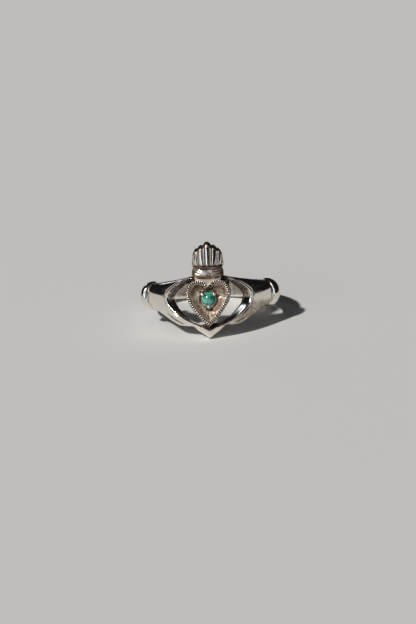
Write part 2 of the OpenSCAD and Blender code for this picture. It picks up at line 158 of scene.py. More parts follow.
def closed_mesh(name, grid, tarnish=0.0, loop=False):
    """A closed surface through grid[i, j], point j of ring i, where each ring closes on itself. A quad
    joins (i, j), (i, j + 1), (i + 1, j + 1) and (i + 1, j). loop joins the last ring to the first.
    Without it a fan round the middle of each end ring closes the end. The volume is the sum of a . (b x
    c) / 6 over triangles (a, b, c), and where it comes out negative every face is turned round, so that
    faces point outwards."""
    n, m = grid.shape[:2]
    i, j = np.meshgrid(np.arange(n if loop else n - 1), np.arange(m), indexing="ij")
    right, down = (j + 1) % m, (i + 1) % n
    quads = np.stack([i * m + j, i * m + right, down * m + right, down * m + j], axis=-1).reshape(-1, 4)
    points, dark = grid.reshape(-1, 3), np.broadcast_to(tarnish, (n, m)).reshape(-1)
    fans = np.empty((0, 3), int)
    if not loop:
        points = np.concatenate([points, [grid[0].mean(0), grid[-1].mean(0)]])
        dark = np.concatenate([dark, [dark[:m].mean(), dark[-m:].mean()]])
        ring = np.arange(m)
        first = np.stack([np.full(m, n * m), (ring + 1) % m, ring], axis=-1)
        last = (n - 1) * m + np.stack([np.full(m, m + 1), ring, (ring + 1) % m], axis=-1)
        fans = np.concatenate([first, last])
    triangles = np.concatenate([quads[:, [0, 1, 2]], quads[:, [0, 2, 3]], fans])
    a, b, c = (points[triangles[:, k]] for k in range(3))
    volume = np.einsum("ij,ij->", a, np.cross(b, c)) / 6
    if volume < 0:
        quads, fans = quads[:, ::-1], fans[:, ::-1]
    mesh = bpy.data.meshes.new(name)
    mesh.vertices.add(len(points))
    mesh.vertices.foreach_set("co", to_row(points).astype(np.float32).ravel())
    corners = np.concatenate([quads.ravel(), fans.ravel()])
    mesh.loops.add(len(corners))
    mesh.loops.foreach_set("vertex_index", corners.astype(np.int32))
    sizes = np.concatenate([np.full(len(quads), 4), np.full(len(fans), 3)])
    mesh.polygons.add(len(sizes))
    mesh.polygons.foreach_set("loop_start", (np.cumsum(sizes) - sizes).astype(np.int32))
    mesh.polygons.foreach_set("use_smooth", np.ones(len(sizes), bool))
    # The attribute holds tarnish and, on some pieces, painted shade.
    mesh.attributes.new("tarnish", "FLOAT", "POINT").data.foreach_set("value", dark.astype(np.float32))
    mesh.update(calc_edges=True)
    piece = bpy.data.objects.new(name, mesh)
    bpy.context.scene.collection.objects.link(piece)
    GRIDS[name] = points
    print("%-14s %6d triangles, %7.2f mm3" % (name, len(triangles), abs(volume)))
    return piece


def near(points, others, reach):
    """How close points lie to other points: 1 where they touch, falling to 0 at a reach in mm."""
    flat, others = points.reshape(-1, 3), np.asarray(others).reshape(-1, 3)
    least = np.empty(len(flat))
    batch = 4000
    for start in range(0, len(flat), batch):
        part = flat[start : start + batch]
        squares = (part**2).sum(1)[:, None] + (others**2).sum(1) - 2 * part @ others.T
        least[start : start + batch] = np.sqrt(np.maximum(squares.min(1), 0))
    return 1 - ramp(least, 0.0, reach).reshape(points.shape[:-1])


# %% [markdown]
# ## Band
# The band of a cast ring is half round outside and flat inside, and its edges are worn soft. It is
# narrower at the back than at the cuffs. One section carried round the finger gives it, with the
# section's half width falling in a straight line from the cuffs to the back. The corners are softened by
# averaging each point of the section with its two neighbours a few times, as a polishing wheel does.

# %% Make the band
CUFF_ANGLE = 67
BAND_R = FINGER_R + BAND_T


def band_out(share):
    """Radius of the band's outside at a share of half its widest width: r - round |share|^2.4."""
    return BAND_R - BAND_ROUND * np.abs(share) ** 2.4


def softened(rings, times):
    """Each pass moves every point of every ring a quarter of the way to each of its two neighbours."""
    for _ in range(times):
        rings = rings / 2 + (np.roll(rings, 1, axis=1) + np.roll(rings, -1, axis=1)) / 4
    return rings


def make_band():
    """Rings of a D section at angles round the back. A ring runs over the outside, down an edge, back
    along the inside and up the other edge."""
    angles = np.linspace(CUFF_ANGLE, 360 - CUFF_ANGLE, 321)
    cuff_y = FINGER_R * math.cos(math.radians(CUFF_ANGLE))
    share_back = (cuff_y - BAND_R * np.cos(np.radians(angles))) / (cuff_y + BAND_R)
    half = (SHOULDER_W + (BAND_W - SHOULDER_W) * np.clip(share_back, 0, 1))[:, None] / 2
    across = np.linspace(-1, 1, 49)
    edge = np.linspace(1, 0, 9)[1:-1]
    inside = np.linspace(1, -1, 17)
    crest = band_out(across * half / (SHOULDER_W / 2))
    wall = FINGER_R + (crest[:, -1:] - FINGER_R) * edge
    hole = np.full((len(angles), len(inside)), FINGER_R)
    radius = np.hstack([crest, wall, hole, wall[:, ::-1]])
    share = np.concatenate([across, np.ones(len(edge)), inside, -np.ones(len(edge))])
    rings = softened(np.stack([radius, share * half], axis=-1), 5)
    return around(angles[:, None], np.maximum(rings[..., 0], FINGER_R), rings[..., 1])


BAND_END_DARK, BAND_INSIDE_DARK, DARK_END = 0.8, 0.06, 0.035
band_grid = make_band()
way_round = np.linspace(0, 1, len(band_grid))[:, None]
at_ends = np.maximum(1 - ramp(way_round, 0.0, DARK_END), ramp(way_round, 1 - DARK_END, 1.0))
is_inside = np.linalg.norm(band_grid[..., :2], axis=-1) < FINGER_R + 0.2
band = closed_mesh("band", band_grid, np.maximum(BAND_END_DARK * at_ends, BAND_INSIDE_DARK * is_inside))

# %% [markdown]
# ## Cuffs
# Each wrist ends in a roll like the hem of a sleeve, with a thin wire fillet on its hand side. Both arch
# over the band. A round section is carried along half an ellipse whose feet run into the finger hole's
# wall, where the hole trims them.

# %% Make the cuffs and fillets
CUFF_ROLL_D, CUFF_H, CUFF_RISE = 1.45, 4.25, 2.35
FILLET_D, FILLET_H, FILLET_RISE = 0.5, 3.8, 1.75
FILLET_SEAT = 0.2
# How far outside the finger hole's wall the ellipse stands, and how far round it the roll goes, in degrees
DIG, ARCH_TURN = 0.35, 104
# A little metal that a trimmed roll keeps outside the finger hole
ROLL_CLEAR, FILLET_CLEAR = 0.008, 0.012
fillet_off = CUFF_ROLL_D / 2 + FILLET_SEAT * FILLET_D
fillet_angle = CUFF_ANGLE - math.degrees(math.atan(fillet_off / FINGER_R))


def arch_roll(angle, roll_d, height, rise, sides, steps):
    """Rings of radius d / 2 round the points (foot + stand cos t, half sin t) of an ellipse, t from -104
    to 104 degrees. A ring lies square to the ellipse, whose outward line is (cos t / stand, sin t /
    half)."""
    turn = np.radians(ARCH_TURN * np.linspace(-1, 1, steps))[:, None]
    foot, half = FINGER_R + DIG, (height - roll_d) / 2
    stand = FINGER_R + rise - roll_d / 2 - foot
    out = np.stack([np.cos(turn) / stand, np.sin(turn) / half])
    out /= np.linalg.norm(out, axis=0)
    spin = np.radians(360 * np.arange(sides) / sides)
    across, along = roll_d / 2 * np.cos(spin), roll_d / 2 * np.sin(spin)
    radius = foot + stand * np.cos(turn) + out[0] * across
    z = half * np.sin(turn) + out[1] * across
    heading = np.array([math.cos(math.radians(angle)), math.sin(math.radians(angle)), 0])
    return around(angle, radius, z) + along[:, None] * heading


def make_cuffs():
    """A cuff and a fillet on each side, dark where the two meet and where they meet the hand or the
    band."""
    made = []
    for side, name in ((-1, "left"), (1, "right")):
        roll = arch_roll(side * CUFF_ANGLE, CUFF_ROLL_D, CUFF_H, CUFF_RISE, 48, 120)
        fillet = arch_roll(side * fillet_angle, FILLET_D, FILLET_H, FILLET_RISE, 24, 120)
        roll, fillet = outside_hole(roll, ROLL_CLEAR), outside_hole(fillet, FILLET_CLEAR)
        low = np.linalg.norm(roll[..., :2], axis=-1) < FINGER_R + DIG
        roll_dark = np.maximum(0.9 * near(roll, fillet, 0.16), 0.3 * low)
        made.append(closed_mesh(name + "_cuff", roll, roll_dark))
        made.append(closed_mesh(name + "_fillet", fillet, 0.12 + 0.75 * near(fillet, roll[:, ::2], 0.08)))
    return made


cuffs = make_cuffs()

# %% [markdown]
# ## Hands
# Both hands are one frame round the opening. It runs from the point below the heart, past a cuff, to the
# crown, and back on the other side. A table gives a section of it at twenty places: where the rim of the
# opening and the outer edge lie, how high they stand and how the surface swells between them. Smooth
# curves through the table, first along the frame and then across it, make the surface. The lines between
# the fingers are cut into it afterwards.

# %% Tables of the hands
OPENING_ANGLE, OPENING_TOP, OPENING_DROP, OPENING_SLOPE, LIP_W = 34.5, 2.9, 4.75, 0.6, 0.16
# rim angle, rim z, edge angle, edge z, rim rise, edge rise, dome and slope, as shares of the named sizes
HAND = np.array([
    [0.00, -1.000, 0.00, -1.000, 1.05, 0.62, 0.08, 1.30],
    [0.15, -0.900, 0.07, -0.916, 1.03, 0.60, 0.07, 1.20],
    [0.28, -0.820, 0.15, -0.810, 1.00, 0.58, 0.06, 1.00],
    [0.42, -0.735, 0.21, -0.720, 1.00, 0.56, 0.06, 1.00],
    [0.56, -0.640, 0.30, -0.705, 1.00, 0.55, 0.06, 1.00],
    [0.68, -0.530, 0.40, -0.680, 1.00, 0.55, 0.06, 0.95],
    [0.79, -0.410, 0.51, -0.583, 1.00, 0.54, 0.06, 0.80],
    [0.88, -0.300, 0.65, -0.440, 0.99, 0.53, 0.07, 0.60],
    [0.95, -0.185, 0.81, -0.318, 0.98, 0.50, 0.07, 0.35],
    [0.99, -0.085, 0.96, -0.275, 0.97, 0.47, 0.07, 0.15],
    [1.00, -0.010, 1.01, -0.120, 0.97, 0.70, 0.07, 0.05],
    [0.99, 0.120, 1.01, 0.240, 0.97, 0.70, 0.07, 0.10],
    [0.95, 0.270, 0.96, 0.540, 0.98, 0.48, 0.08, 0.25],
    [0.87, 0.430, 0.82, 0.600, 0.99, 0.50, 0.09, 0.45],
    [0.78, 0.580, 0.69, 0.655, 1.00, 0.52, 0.10, 0.60],
    [0.67, 0.745, 0.56, 0.720, 1.00, 0.53, 0.10, 0.70],
    [0.56, 0.880, 0.42, 0.800, 1.00, 0.54, 0.10, 0.75],
    [0.46, 0.960, 0.30, 0.885, 1.00, 0.55, 0.09, 0.75],
    [0.30, 0.990, 0.17, 0.970, 1.00, 0.58, 0.08, 0.75],
    [0.00, 1.000, 0.00, 1.000, 1.00, 0.60, 0.06, 0.75],
])
MIRROR = np.array([-1, 1, -1, 1, 1, 1, 1, 1])
# The opening's wall: shares of its slope, and of the way from the finger hole up to the rim
RIM_WALL = [(0.75, 0.12), (0.35, 0.55)]
# The lip: shares of its width, and how far below the rim, in lip widths
LIP = [(-0.05, 1.50), (0.30, 0.45), (1.00, 0.00)]
# Shares of the way from rim to edge at which a section of a hand has points
ACROSS = np.array([0.025, 0.05, 0.08, 0.12, 0.18, 0.28, 0.40, 0.52, 0.64, 0.76, 0.88])
# The opening's wall has no slope on the left, and its foot is cut back under the lip by this much
UNDERCUT_LEFT = 0.2
# On the lower right the wall has this share of its slope, and the rim lies lower by this much
SLOPE_RIGHT, DEEPER_RIGHT = 0.35, 0.16
# A bead runs along the lip, with a fine crease outside it
BEAD_W, BEAD_H, CREASE_W, CREASE_DEPTH = 0.36, 0.085, 0.07, 0.035
# The lines between the fingers, as points of angle and z, with their depth and width in mm
FINGER_LINES = [
    ([(-34.8, -1.1), (-31.7, -1.65), (-28.5, -2.2), (-24.8, -2.85)], 0.10, 0.13),
    ([(-38.0, -2.1), (-33.6, -2.75), (-28.3, -3.34), (-23.6, -3.77), (-20.0, -3.80)], 0.16, 0.15),
    ([(36.2, -2.3), (30.2, -3.20), (23.4, -3.70), (20.0, -3.80)], 0.15, 0.14),
    ([(34.2, -1.5), (30.5, -2.10), (26.4, -2.80)], 0.06, 0.12),
]

# %% [markdown]
# ## Sections of a hand
# The same table serves both hands, but on the real ring the two walls of the opening were filed
# differently, which shows in what they mirror. So the side of a section changes how its wall slopes. The
# lip is the brightest line of the whole ring: a thin bead with a crease outside it catches light that a
# plain rounded edge would miss.

# %% Sections from the wall of the opening to the edge
def hand_profile(rows, side):
    """Sections of one side: from the foot of the opening's wall up to the lip, over the swelling back of
    the hand to the edge and down to the finger hole. A point at a share s of the way across lies at the
    angle and height rim + s (edge - rim), and its radius is rim + s (edge - rim) + 4 s (1 - s) dome. Near
    the rim a bead is added and a crease taken off, each a bump over the distance from the rim."""
    rim_share, edge_share, dome = rows[:, 1:2], rows[:, 3:4], rows[:, 6:7]
    rim_a, edge_a = rows[:, :1] * OPENING_ANGLE, rows[:, 2:3] * CUFF_ANGLE
    rim_z = np.where(rim_share < 0, OPENING_DROP, OPENING_TOP) * rim_share
    edge_z = np.where(edge_share < 0, HAND_DROP, HAND_TOP) * edge_share
    rim_r, edge_r = FINGER_R + rows[:, 4:5] * HAND_T, FINGER_R + rows[:, 5:6] * HAND_T
    length = np.hypot(np.radians(edge_a - rim_a) * FINGER_R, edge_z - rim_z)
    lip = np.minimum(LIP_W, 0.2 * length) / length
    above_point = 1 - ramp(-rim_share, 0.8, 1.0)
    left = ramp(-rim_share, -0.25, 0.05) * above_point * (side < 0)
    right = ramp(-rim_share, 0.0, 0.2) * above_point * (side > 0)
    sloped = (1 - left - (1 - SLOPE_RIGHT) * right) * rows[:, 7:8]
    foot = (sloped * OPENING_SLOPE - left * UNDERCUT_LEFT) / length
    rim_z = rim_z - DEEPER_RIGHT * right
    bevel, hole, full = EDGE_BEVEL / length, FINGER_R + 0 * length, 1 + 0 * length
    knots = [(-foot, hole)]
    knots += [(-share * foot, FINGER_R + rise * (rim_r - FINGER_R)) for share, rise in RIM_WALL]
    knots += [(share * lip, rim_r - drop * LIP_W) for share, drop in LIP]
    knots += [(s + lip * (1 - s), rim_r + (edge_r - rim_r) * s + 4 * s * (1 - s) * dome * HAND_T)
              for s in ACROSS]
    knots += [(full, edge_r - 0.6 * LIP_W), (full, hole + EDGE_FOOT), (1 - bevel, hole)]
    table = np.array([np.hstack(knot) for knot in knots])
    fine = smooth(table, np.linspace(0, len(knots) - 1, 5 * (len(knots) - 1) + 1))
    share, radius = fine[..., 0].T, fine[..., 1].T
    from_rim = share * length
    bead = BEAD_H * bump(from_rim - 0.5 * BEAD_W, 0.36 * BEAD_W)
    crease = CREASE_DEPTH * bump(from_rim - BEAD_W - CREASE_W, CREASE_W)
    radius = radius + (bead - crease) * ramp(radius, rim_r - 0.5, rim_r - 0.2)
    inside = np.linspace(1, 0, 18)[1:-1]
    share = np.hstack([share, -foot + inside * (1 - bevel + foot)])
    radius = np.hstack([radius, np.full((len(rows), len(inside)), FINGER_R)])
    angle, z = side * (rim_a + share * (edge_a - rim_a)), rim_z + share * (edge_z - rim_z)
    return angle, np.maximum(radius, FINGER_R), z, share


# %% [markdown]
# ## Lines between the fingers
# A graver cut these lines into the finished hand, and cutting them into the surface keeps that order. The
# hand is unrolled flat first, because a line of straight stretches is easy to measure from on a flat
# sheet. Tarnish then settles where no polishing cloth reaches: in the lines, on the opening's wall and
# beside the fillets. Over the lower fingers of the right hand, shade is painted on as well.

# %% Cut the lines and make the hands
def cut_lines(angle, radius, z, lines):
    """Grooves cut into a surface at a radius: each takes off depth exp(-(d / width)^2) at a distance d
    from its line, measured on the surface unrolled at that radius. Only metal that stands well above the
    finger hole is cut. It returns the new radius and how dark each groove is."""
    unrolled = np.stack([np.radians(angle) * (FINGER_R + HAND_T), z], axis=-1)
    raised = ramp(radius, FINGER_R + 0.6, FINGER_R + 1.1)
    dark = np.zeros_like(radius)
    for line, depth, width in lines:
        path = [(math.radians(a) * (FINGER_R + HAND_T), height) for a, height in line]
        cut = line_cut(unrolled, path, width) * raised
        radius = radius - depth * cut
        dark = np.maximum(dark, cut)
    return radius, dark


# Over the right hand's fingers the darkening is painted shade; the rest is tarnish.
FOOT_DARK, TOP_WALL_DARK, LEFT_WALL_DARK = 0.8, 0.62, 0.30
LINE_DARK, RIGHT_FINGERS_PAINTED_SHADE, FILLET_GAP_DARK = 0.85, 0.42, 0.9


def hand_tarnish_and_shade(grid, angle, radius, z, share, groove):
    """How dark each point is: at the foot of the opening's wall, up its top and its left, in the lines,
    over the fingers of the right hand and beside the fillets. Over the right hand's fingers it is painted
    shade, as if the hand mirrored the ring's shadow. The darkest of these counts."""
    on_wall, upper, left = share < 0.02, ramp(z, -0.5, 0.3), ramp(-angle, -2.0, 2.0)
    risen = radius - FINGER_R
    foot = FOOT_DARK * on_wall * (1 - ramp(risen, 0.1, 0.55 + 0.55 * np.maximum(left, upper)))
    wall_dark = TOP_WALL_DARK * upper + LEFT_WALL_DARK * left * (1 - upper)
    wall = on_wall * wall_dark * (1 - ramp(risen, 1.35, 1.8))
    # Painted shade over the lower fingers of the right hand, as if they mirrored the ring's shadow.
    fingers = ramp(angle, 12, 26) * ramp(-z, 0.2, 1.4) * ramp(share, 0.08, 0.2)
    fillets = (GRIDS[side + "_fillet"][::3] for side in ("left", "right"))
    gap = np.maximum(*(near(grid, fillet, 0.22) for fillet in fillets))
    marks = [LINE_DARK * groove, RIGHT_FINGERS_PAINTED_SHADE * fingers, FILLET_GAP_DARK * gap]
    return np.maximum.reduce([foot, wall, *marks])


def make_hands():
    """Sections on the left from the point to the crown, then on the right back to the point."""
    places = np.linspace(0, len(HAND) - 1, 16 * (len(HAND) - 1) + 1)
    rows = smooth(HAND, places, HAND[1] * MIRROR, HAND[-2] * MIRROR)
    left, right = hand_profile(rows, -1), hand_profile(rows, 1)
    angle, radius, z, share = (np.concatenate([a, b[-2:0:-1]]) for a, b in zip(left, right))
    radius, groove = cut_lines(angle, radius, z, FINGER_LINES)
    grid = around(angle, radius, z)
    dark = hand_tarnish_and_shade(grid, angle, radius, z, share, groove)
    return closed_mesh("hands", grid, dark, loop=True)


hands = make_hands()

# %% [markdown]
# ## Heart
# The heart is a flat-backed plate with a dished face. Its border is milled: a knurled wheel rolled round
# it leaves even notches, with a smooth lip outside them. Half the outline is a table, a curve through it
# is resampled to even steps so that the notches are even too, and each ring of the surface is that
# outline moved in by a distance and set at a height. Further in, the outline shrinks towards the heart's
# middle, which leaves a valley to the tip.

# %% The heart's outline
HEART_W, HEART_H, HEART_TOP, HEART_RISE = 6.45, 6.8, 2.52, 2.4
BORDER_W, DISH_DEPTH, NOTCH_DEPTH, NOTCHES = 0.6, 0.55, 0.24, 60
HEART_MIDDLE = 0.4
# share of half the width, share of the height down from the lobes
HEART = [(0.00, 0.105), (0.15, 0.032), (0.36, 0.000), (0.58, 0.005), (0.78, 0.055), (0.93, 0.150),
         (1.00, 0.270), (0.97, 0.390), (0.87, 0.510), (0.70, 0.640), (0.50, 0.765), (0.28, 0.885),
         (0.00, 1.000)]


def even_steps(line, count):
    """Points at even distances along a line."""
    walked = np.concatenate([[0], np.cumsum(np.linalg.norm(np.diff(line, axis=0), axis=1))])
    at = np.linspace(0, walked[-1], count)
    return np.stack([np.interp(at, walked, line[:, k]) for k in range(line.shape[1])], axis=-1)


def heart_outline(count):
    """count even points from the cleft down the right side to the tip, and back up the left side."""
    table = np.array(HEART)
    fine = smooth(table, np.linspace(0, len(table) - 1, 600), [-table[1, 0] + 0.06, table[1, 1]],
                  [-table[-2, 0], 2 - table[-2, 1]])
    x, z = fine[:, 0] * HEART_W / 2, HEART_TOP - fine[:, 1] * HEART_H
    right = even_steps(np.stack([x, z], axis=-1), count // 2 + 1)
    return np.concatenate([right, right[-2:0:-1] * [-1, 1]])


def moved_in(outline, distance):
    """The outline moved in by a distance square to itself. Each point keeps to its own side of the middle
    line."""
    along = np.roll(outline, -1, axis=0) - np.roll(outline, 1, axis=0)
    along /= np.linalg.norm(along, axis=1, keepdims=True)
    moved = outline + distance * along[:, ::-1] * [1, -1]
    least = 0.1 * outline[:, 0]
    moved[:, 0] = np.where(least < 0, np.minimum(moved[:, 0], least), np.maximum(moved[:, 0], least))
    return moved


def raised(outline, radius):
    """A flat outline at a distance in front of the finger's axis: (x, -radius, z)."""
    return np.stack([outline[:, 0], -np.broadcast_to(radius, len(outline)), outline[:, 1]], axis=-1)


def on_hole(outline, clearance):
    """A flat outline laid on the finger hole's wall: (x, -sqrt(r^2 - x^2), z)."""
    radius = FINGER_R + clearance
    return raised(outline, np.sqrt(radius**2 - outline[:, 0] ** 2))


# %% [markdown]
# ## Sizes of the heart's face
# Two tables of steps, one over the border and one down the dish, say how far each ring lies below the
# crest. The notches are a wave along the border whose depth grows and fades from ring to ring. The dish
# was never polished, so it keeps the soft dents of its casting, and the graver left small pits beside the
# grains when raising them.

# %% Tables of the heart
STONE_D, STONE_H, STONE_Z, STONE_GAP, SEAT_DEPTH = 2.16, 0.85, -0.25, 0.04, 0.25
COLLAR_W, COLLAR_H, PRONG_D = 0.28, 0.14, 0.54
PRONGS = (40, 140, 270)
HEART_STEPS = 12 * NOTCHES
# Rings of the flat back, as shares of the outline
HEART_BACK = (0.2, 0.4, 0.6, 0.8, 1.0)
# way in as a share of the border, drop below the crest in mm, share of the notches' depth
BORDER = [(0.00, 0.60, 0.0), (0.00, 0.34, 0.0), (0.02, 0.20, 0.0), (0.06, 0.10, 0.1), (0.11, 0.05, 0.5),
          (0.17, 0.03, 0.9), (0.27, 0.01, 1.0), (0.40, 0.00, 1.0), (0.55, 0.00, 1.0), (0.70, 0.02, 1.0),
          (0.82, 0.07, 0.9), (0.92, 0.16, 0.5), (1.00, 0.26, 0.1)]
# share of the border's inner outline, share of the dish's depth
DISH = [(1.00, 0.47), (0.94, 0.60), (0.87, 0.72), (0.80, 0.82), (0.70, 0.93), (0.60, 0.99), (0.45, 1.00),
        (0.30, 1.00), (0.14, 1.00)]
# Pits that the graver left beside the grains: x and z from the stone's middle, depth and width in mm
PITS = [(0.98, 1.02, 0.22, 0.22), (1.50, 0.40, 0.16, 0.16), (-1.15, 1.02, 0.14, 0.16),
        (-0.22, -1.50, 0.20, 0.17), (0.10, -1.62, 0.24, 0.20), (0.45, -1.52, 0.20, 0.18)]
# Soft dents in the dish: depth in mm, then turns per mm across and up for two crossing waves
DENTS = [(0.018, (1.45, 0.60), (-0.70, 1.40)), (0.011, (2.70, -0.85), (0.95, 2.35))]
# The corner under the cleft, where dirt gathers: its height and its width
CLEFT_CORNER_Z, CLEFT_CORNER_W = 1.3, 0.45
crest_r = FINGER_R + HEART_RISE
dish_r = crest_r - DISH_DEPTH


# %% Pits, dents and tarnish
def press_pits(grid, face):
    """Round pits pressed into the face, depth exp(-(d / width)^2) at a distance d. Returns how dark they
    are."""
    dark = np.zeros(grid.shape[:2])
    for x, z, depth, width in PITS:
        pit = bump(np.hypot(grid[..., 0] - x, grid[..., 2] - STONE_Z - z), width) * face
        grid[..., 1] += depth * pit
        dark = np.maximum(dark, pit)
    return dark


def press_dents(grid, share):
    """Dents pressed into the dish between its edge and the stone: depth sin(a . p) sin(b . p) at a point
    p."""
    across, up = 2 * math.pi * grid[..., 0], 2 * math.pi * grid[..., 2]
    where = (ramp(share, 0.3, 0.45) * (1 - ramp(share, 0.93, 1.0)))[:, None]
    for depth, (ax, az), (bx, bz) in DENTS:
        grid[..., 1] += depth * where * np.sin(ax * across + az * up) * np.sin(bx * across + bz * up)


# Down the heart's side, on the left of the dish's wall and towards the dish's top the darkening is painted
# shade; the rest is tarnish.
DISH_DARK, CORNER_DARK, NOTCH_DARK, PIT_DARK, SIDE_PAINTED_SHADE = 0.47, 0.9, 1.15, 1.2, 0.62
DISH_WALL_TARNISH_AND_SHADE_LEFT, DISH_WALL_DARK_RIGHT, DISH_TOP_PAINTED_SHADE = 0.14, 0.08, 0.10
# The outer rings of the border are the heart's side, with painted shade, and its back has this share of it
SIDE_RINGS, BACK_SHARE = 17, 0.4


def heart_tarnish_and_shade(grid, face, share, notches, pits):
    """How dark each point is: in the notches and pits, down the side, over the dish, more so at the dish's
    wall and in the corner under the cleft. Down the side it is painted shade, and so is the extra on the
    left and at the top of the dish's wall. The darkest of these counts."""
    is_side = np.arange(len(grid))[:, None] < len(HEART_BACK) + SIDE_RINGS
    # Painted shade down the heart's side, darker further below the crest.
    side = ramp(crest_r - 0.12 + grid[..., 1], 0.0, 0.5) * is_side
    side[: len(HEART_BACK) - 1] *= BACK_SHARE
    wall = (ramp(share, 0.55, 0.9) * (1 - ramp(share, 0.97, 1.0)))[:, None]
    # The dish's wall is tarnished, with painted shade added on its left and towards its top.
    wall_dark = np.where(grid[..., 0] < 0, DISH_WALL_TARNISH_AND_SHADE_LEFT, DISH_WALL_DARK_RIGHT)
    wall_dark = wall_dark + DISH_TOP_PAINTED_SHADE * ramp(grid[..., 2], 0.2, 1.5)
    corner = bump(np.hypot(grid[..., 0], grid[..., 2] - CLEFT_CORNER_Z), CLEFT_CORNER_W)
    dish = DISH_DARK * face + CORNER_DARK * corner + wall * wall_dark
    pit_dark = np.minimum(PIT_DARK * pits, 1.0)
    return np.maximum.reduce([NOTCH_DARK * notches, SIDE_PAINTED_SHADE * side, pit_dark, dish])


# %% [markdown]
# ## The heart as rings
# The rings start behind, run over the side and the border, and end in the dish. Twelve points to a notch
# keep the wave round. A milled border could also be made of sixty small beads, but one surface has no
# seams to hide.

# %% Make the heart
NOTCH_SHAPE, NOTCH_DARK_SHAPE = 1.15, 1.3


def make_heart():
    """Rings from the middle of the back, over the side and the border, down the dish to its middle. Notch
    k of n comes from the wave (0.5 - 0.5 cos(2 pi n u))^1.15 at the share u of the way round."""
    outline = heart_outline(HEART_STEPS)
    inner = moved_in(outline, BORDER_W)
    middle = np.array([0, HEART_TOP - HEART_MIDDLE * HEART_H])
    turn = 2 * math.pi * NOTCHES * np.arange(HEART_STEPS) / HEART_STEPS
    wave = (0.5 - 0.5 * np.cos(turn)) ** NOTCH_SHAPE
    border = smooth(BORDER, np.linspace(0, len(BORDER) - 1, 3 * (len(BORDER) - 1) + 1))
    dish = smooth(DISH, np.linspace(0, len(DISH) - 1, 5 * (len(DISH) - 1) + 1))[1:]
    rings = [on_hole(middle + share * (outline - middle), 0.02) for share in HEART_BACK]
    rings += [raised(moved_in(outline, share * BORDER_W), crest_r - drop - deep * NOTCH_DEPTH * wave)
              for share, drop, deep in border]
    rings += [raised(middle + share * (inner - middle), crest_r - drop * DISH_DEPTH)
              for share, drop in dish]
    grid = np.array(rings)
    first_dish = len(grid) - len(dish)
    face = np.arange(len(grid))[:, None] >= first_dish
    notches = np.zeros(grid.shape[:2])
    notches[len(HEART_BACK) : first_dish] = border[:, 2:] * wave**NOTCH_DARK_SHAPE
    share = np.zeros(len(grid))
    share[first_dish:] = dish[:, 0]
    pits = press_pits(grid, face)
    press_dents(grid, share)
    return closed_mesh("heart", grid, heart_tarnish_and_shade(grid, face, share, notches, pits))


heart = make_heart()

# %% [markdown]
# ## Crown seat
# Silver fills the space under the crown: a flat plate between the heart's lobes, in front, and a web
# behind it that ties the lobes to the hands. Each is an outline with straight sides and soft corners,
# carried from the finger hole's wall to its face, with a small round edge.

# %% Make the plate, the web and a drop of solder
def rounded(corners, radius, count):
    """Even points round a polygon whose corners are cut by curves through three points each: the points a
    radius before and after the corner, and the corner itself drawn halfway to the middle of those two."""
    corners = np.array(corners, float)
    to_last, to_next = np.roll(corners, 1, axis=0) - corners, np.roll(corners, -1, axis=0) - corners
    reach = np.minimum(radius, 0.45 * np.linalg.norm(to_last, axis=1, keepdims=True))
    before = corners + reach * to_last / np.linalg.norm(to_last, axis=1, keepdims=True)
    reach = np.minimum(radius, 0.45 * np.linalg.norm(to_next, axis=1, keepdims=True))
    after = corners + reach * to_next / np.linalg.norm(to_next, axis=1, keepdims=True)
    line = np.stack([before, corners / 2 + (before + after) / 4, after], axis=1).reshape(-1, 2)
    return even_steps(np.concatenate([line, line[:1]]), count + 1)[:-1]


# Rings of a plate's back: share of the outline, share of side tarnish
PLATE_BACK = [(0.1, 0.0), (0.4, 0.0), (0.7, 0.0), (1.0, 1.0)]
# Rings of its side and face: share of the outline, drop below the face in mm, share of side tarnish
PLATE_FACE = [(1.0, 0.4, 1.0), (1.0, 0.10, 0.8), (0.985, 0.03, 0.4), (0.955, 0.0, 0.1), (0.7, 0.0, 0.0),
              (0.4, 0.0, 0.0), (0.1, 0.0, 0.0)]
PLATE_SIDE_DARK = 0.85


def make_plate(name, corners, rise, tarnish):
    """Rings from the middle of the back to the middle of the face, with a round edge of 0.1 mm."""
    outline = rounded(corners, 0.2, 160)
    middle = outline.mean(0)
    rings = [on_hole(middle + share * (outline - middle), 0.03) for share, _ in PLATE_BACK]
    rings += [raised(middle + share * (outline - middle), FINGER_R + rise - drop)
              for share, drop, _ in PLATE_FACE]
    side = np.array([row[-1] for row in PLATE_BACK + PLATE_FACE])[:, None]
    return closed_mesh(name, np.array(rings), np.maximum(tarnish, PLATE_SIDE_DARK * side))


SEAT_HALF, SEAT_LOW, WEB_HALF = 0.3 * HEART_W, HEART_TOP - 0.13 * HEART_H, 0.42 * HEART_W
PLATE_CORNERS = [(-0.1 * SEAT_HALF, SEAT_LOW), (0.1 * SEAT_HALF, SEAT_LOW), (SEAT_HALF, HEART_TOP),
                 (SEAT_HALF, HAND_TOP), (-SEAT_HALF, HAND_TOP), (-SEAT_HALF, HEART_TOP)]
WEB_CORNERS = [(-WEB_HALF, SEAT_LOW), (WEB_HALF, SEAT_LOW),
               (WEB_HALF, OPENING_TOP), (-WEB_HALF, OPENING_TOP)]
plate = make_plate("seat_plate", PLATE_CORNERS, HEART_RISE - 0.3, 0.34)
web = make_plate("seat_web", WEB_CORNERS, 0.5 * HAND_T, 0.75)


def ball(middle, radii, sides=48, steps=33):
    """An ellipsoid: middle + (a sin t cos s, b sin t sin s, c cos t)."""
    t = np.linspace(0.06, math.pi - 0.06, steps)[:, None]
    s = 2 * math.pi * np.arange(sides) / sides
    shape = np.stack([np.sin(t) * np.cos(s), np.sin(t) * np.sin(s), np.cos(t) + 0 * s], axis=-1)
    return np.array(middle) + shape * radii


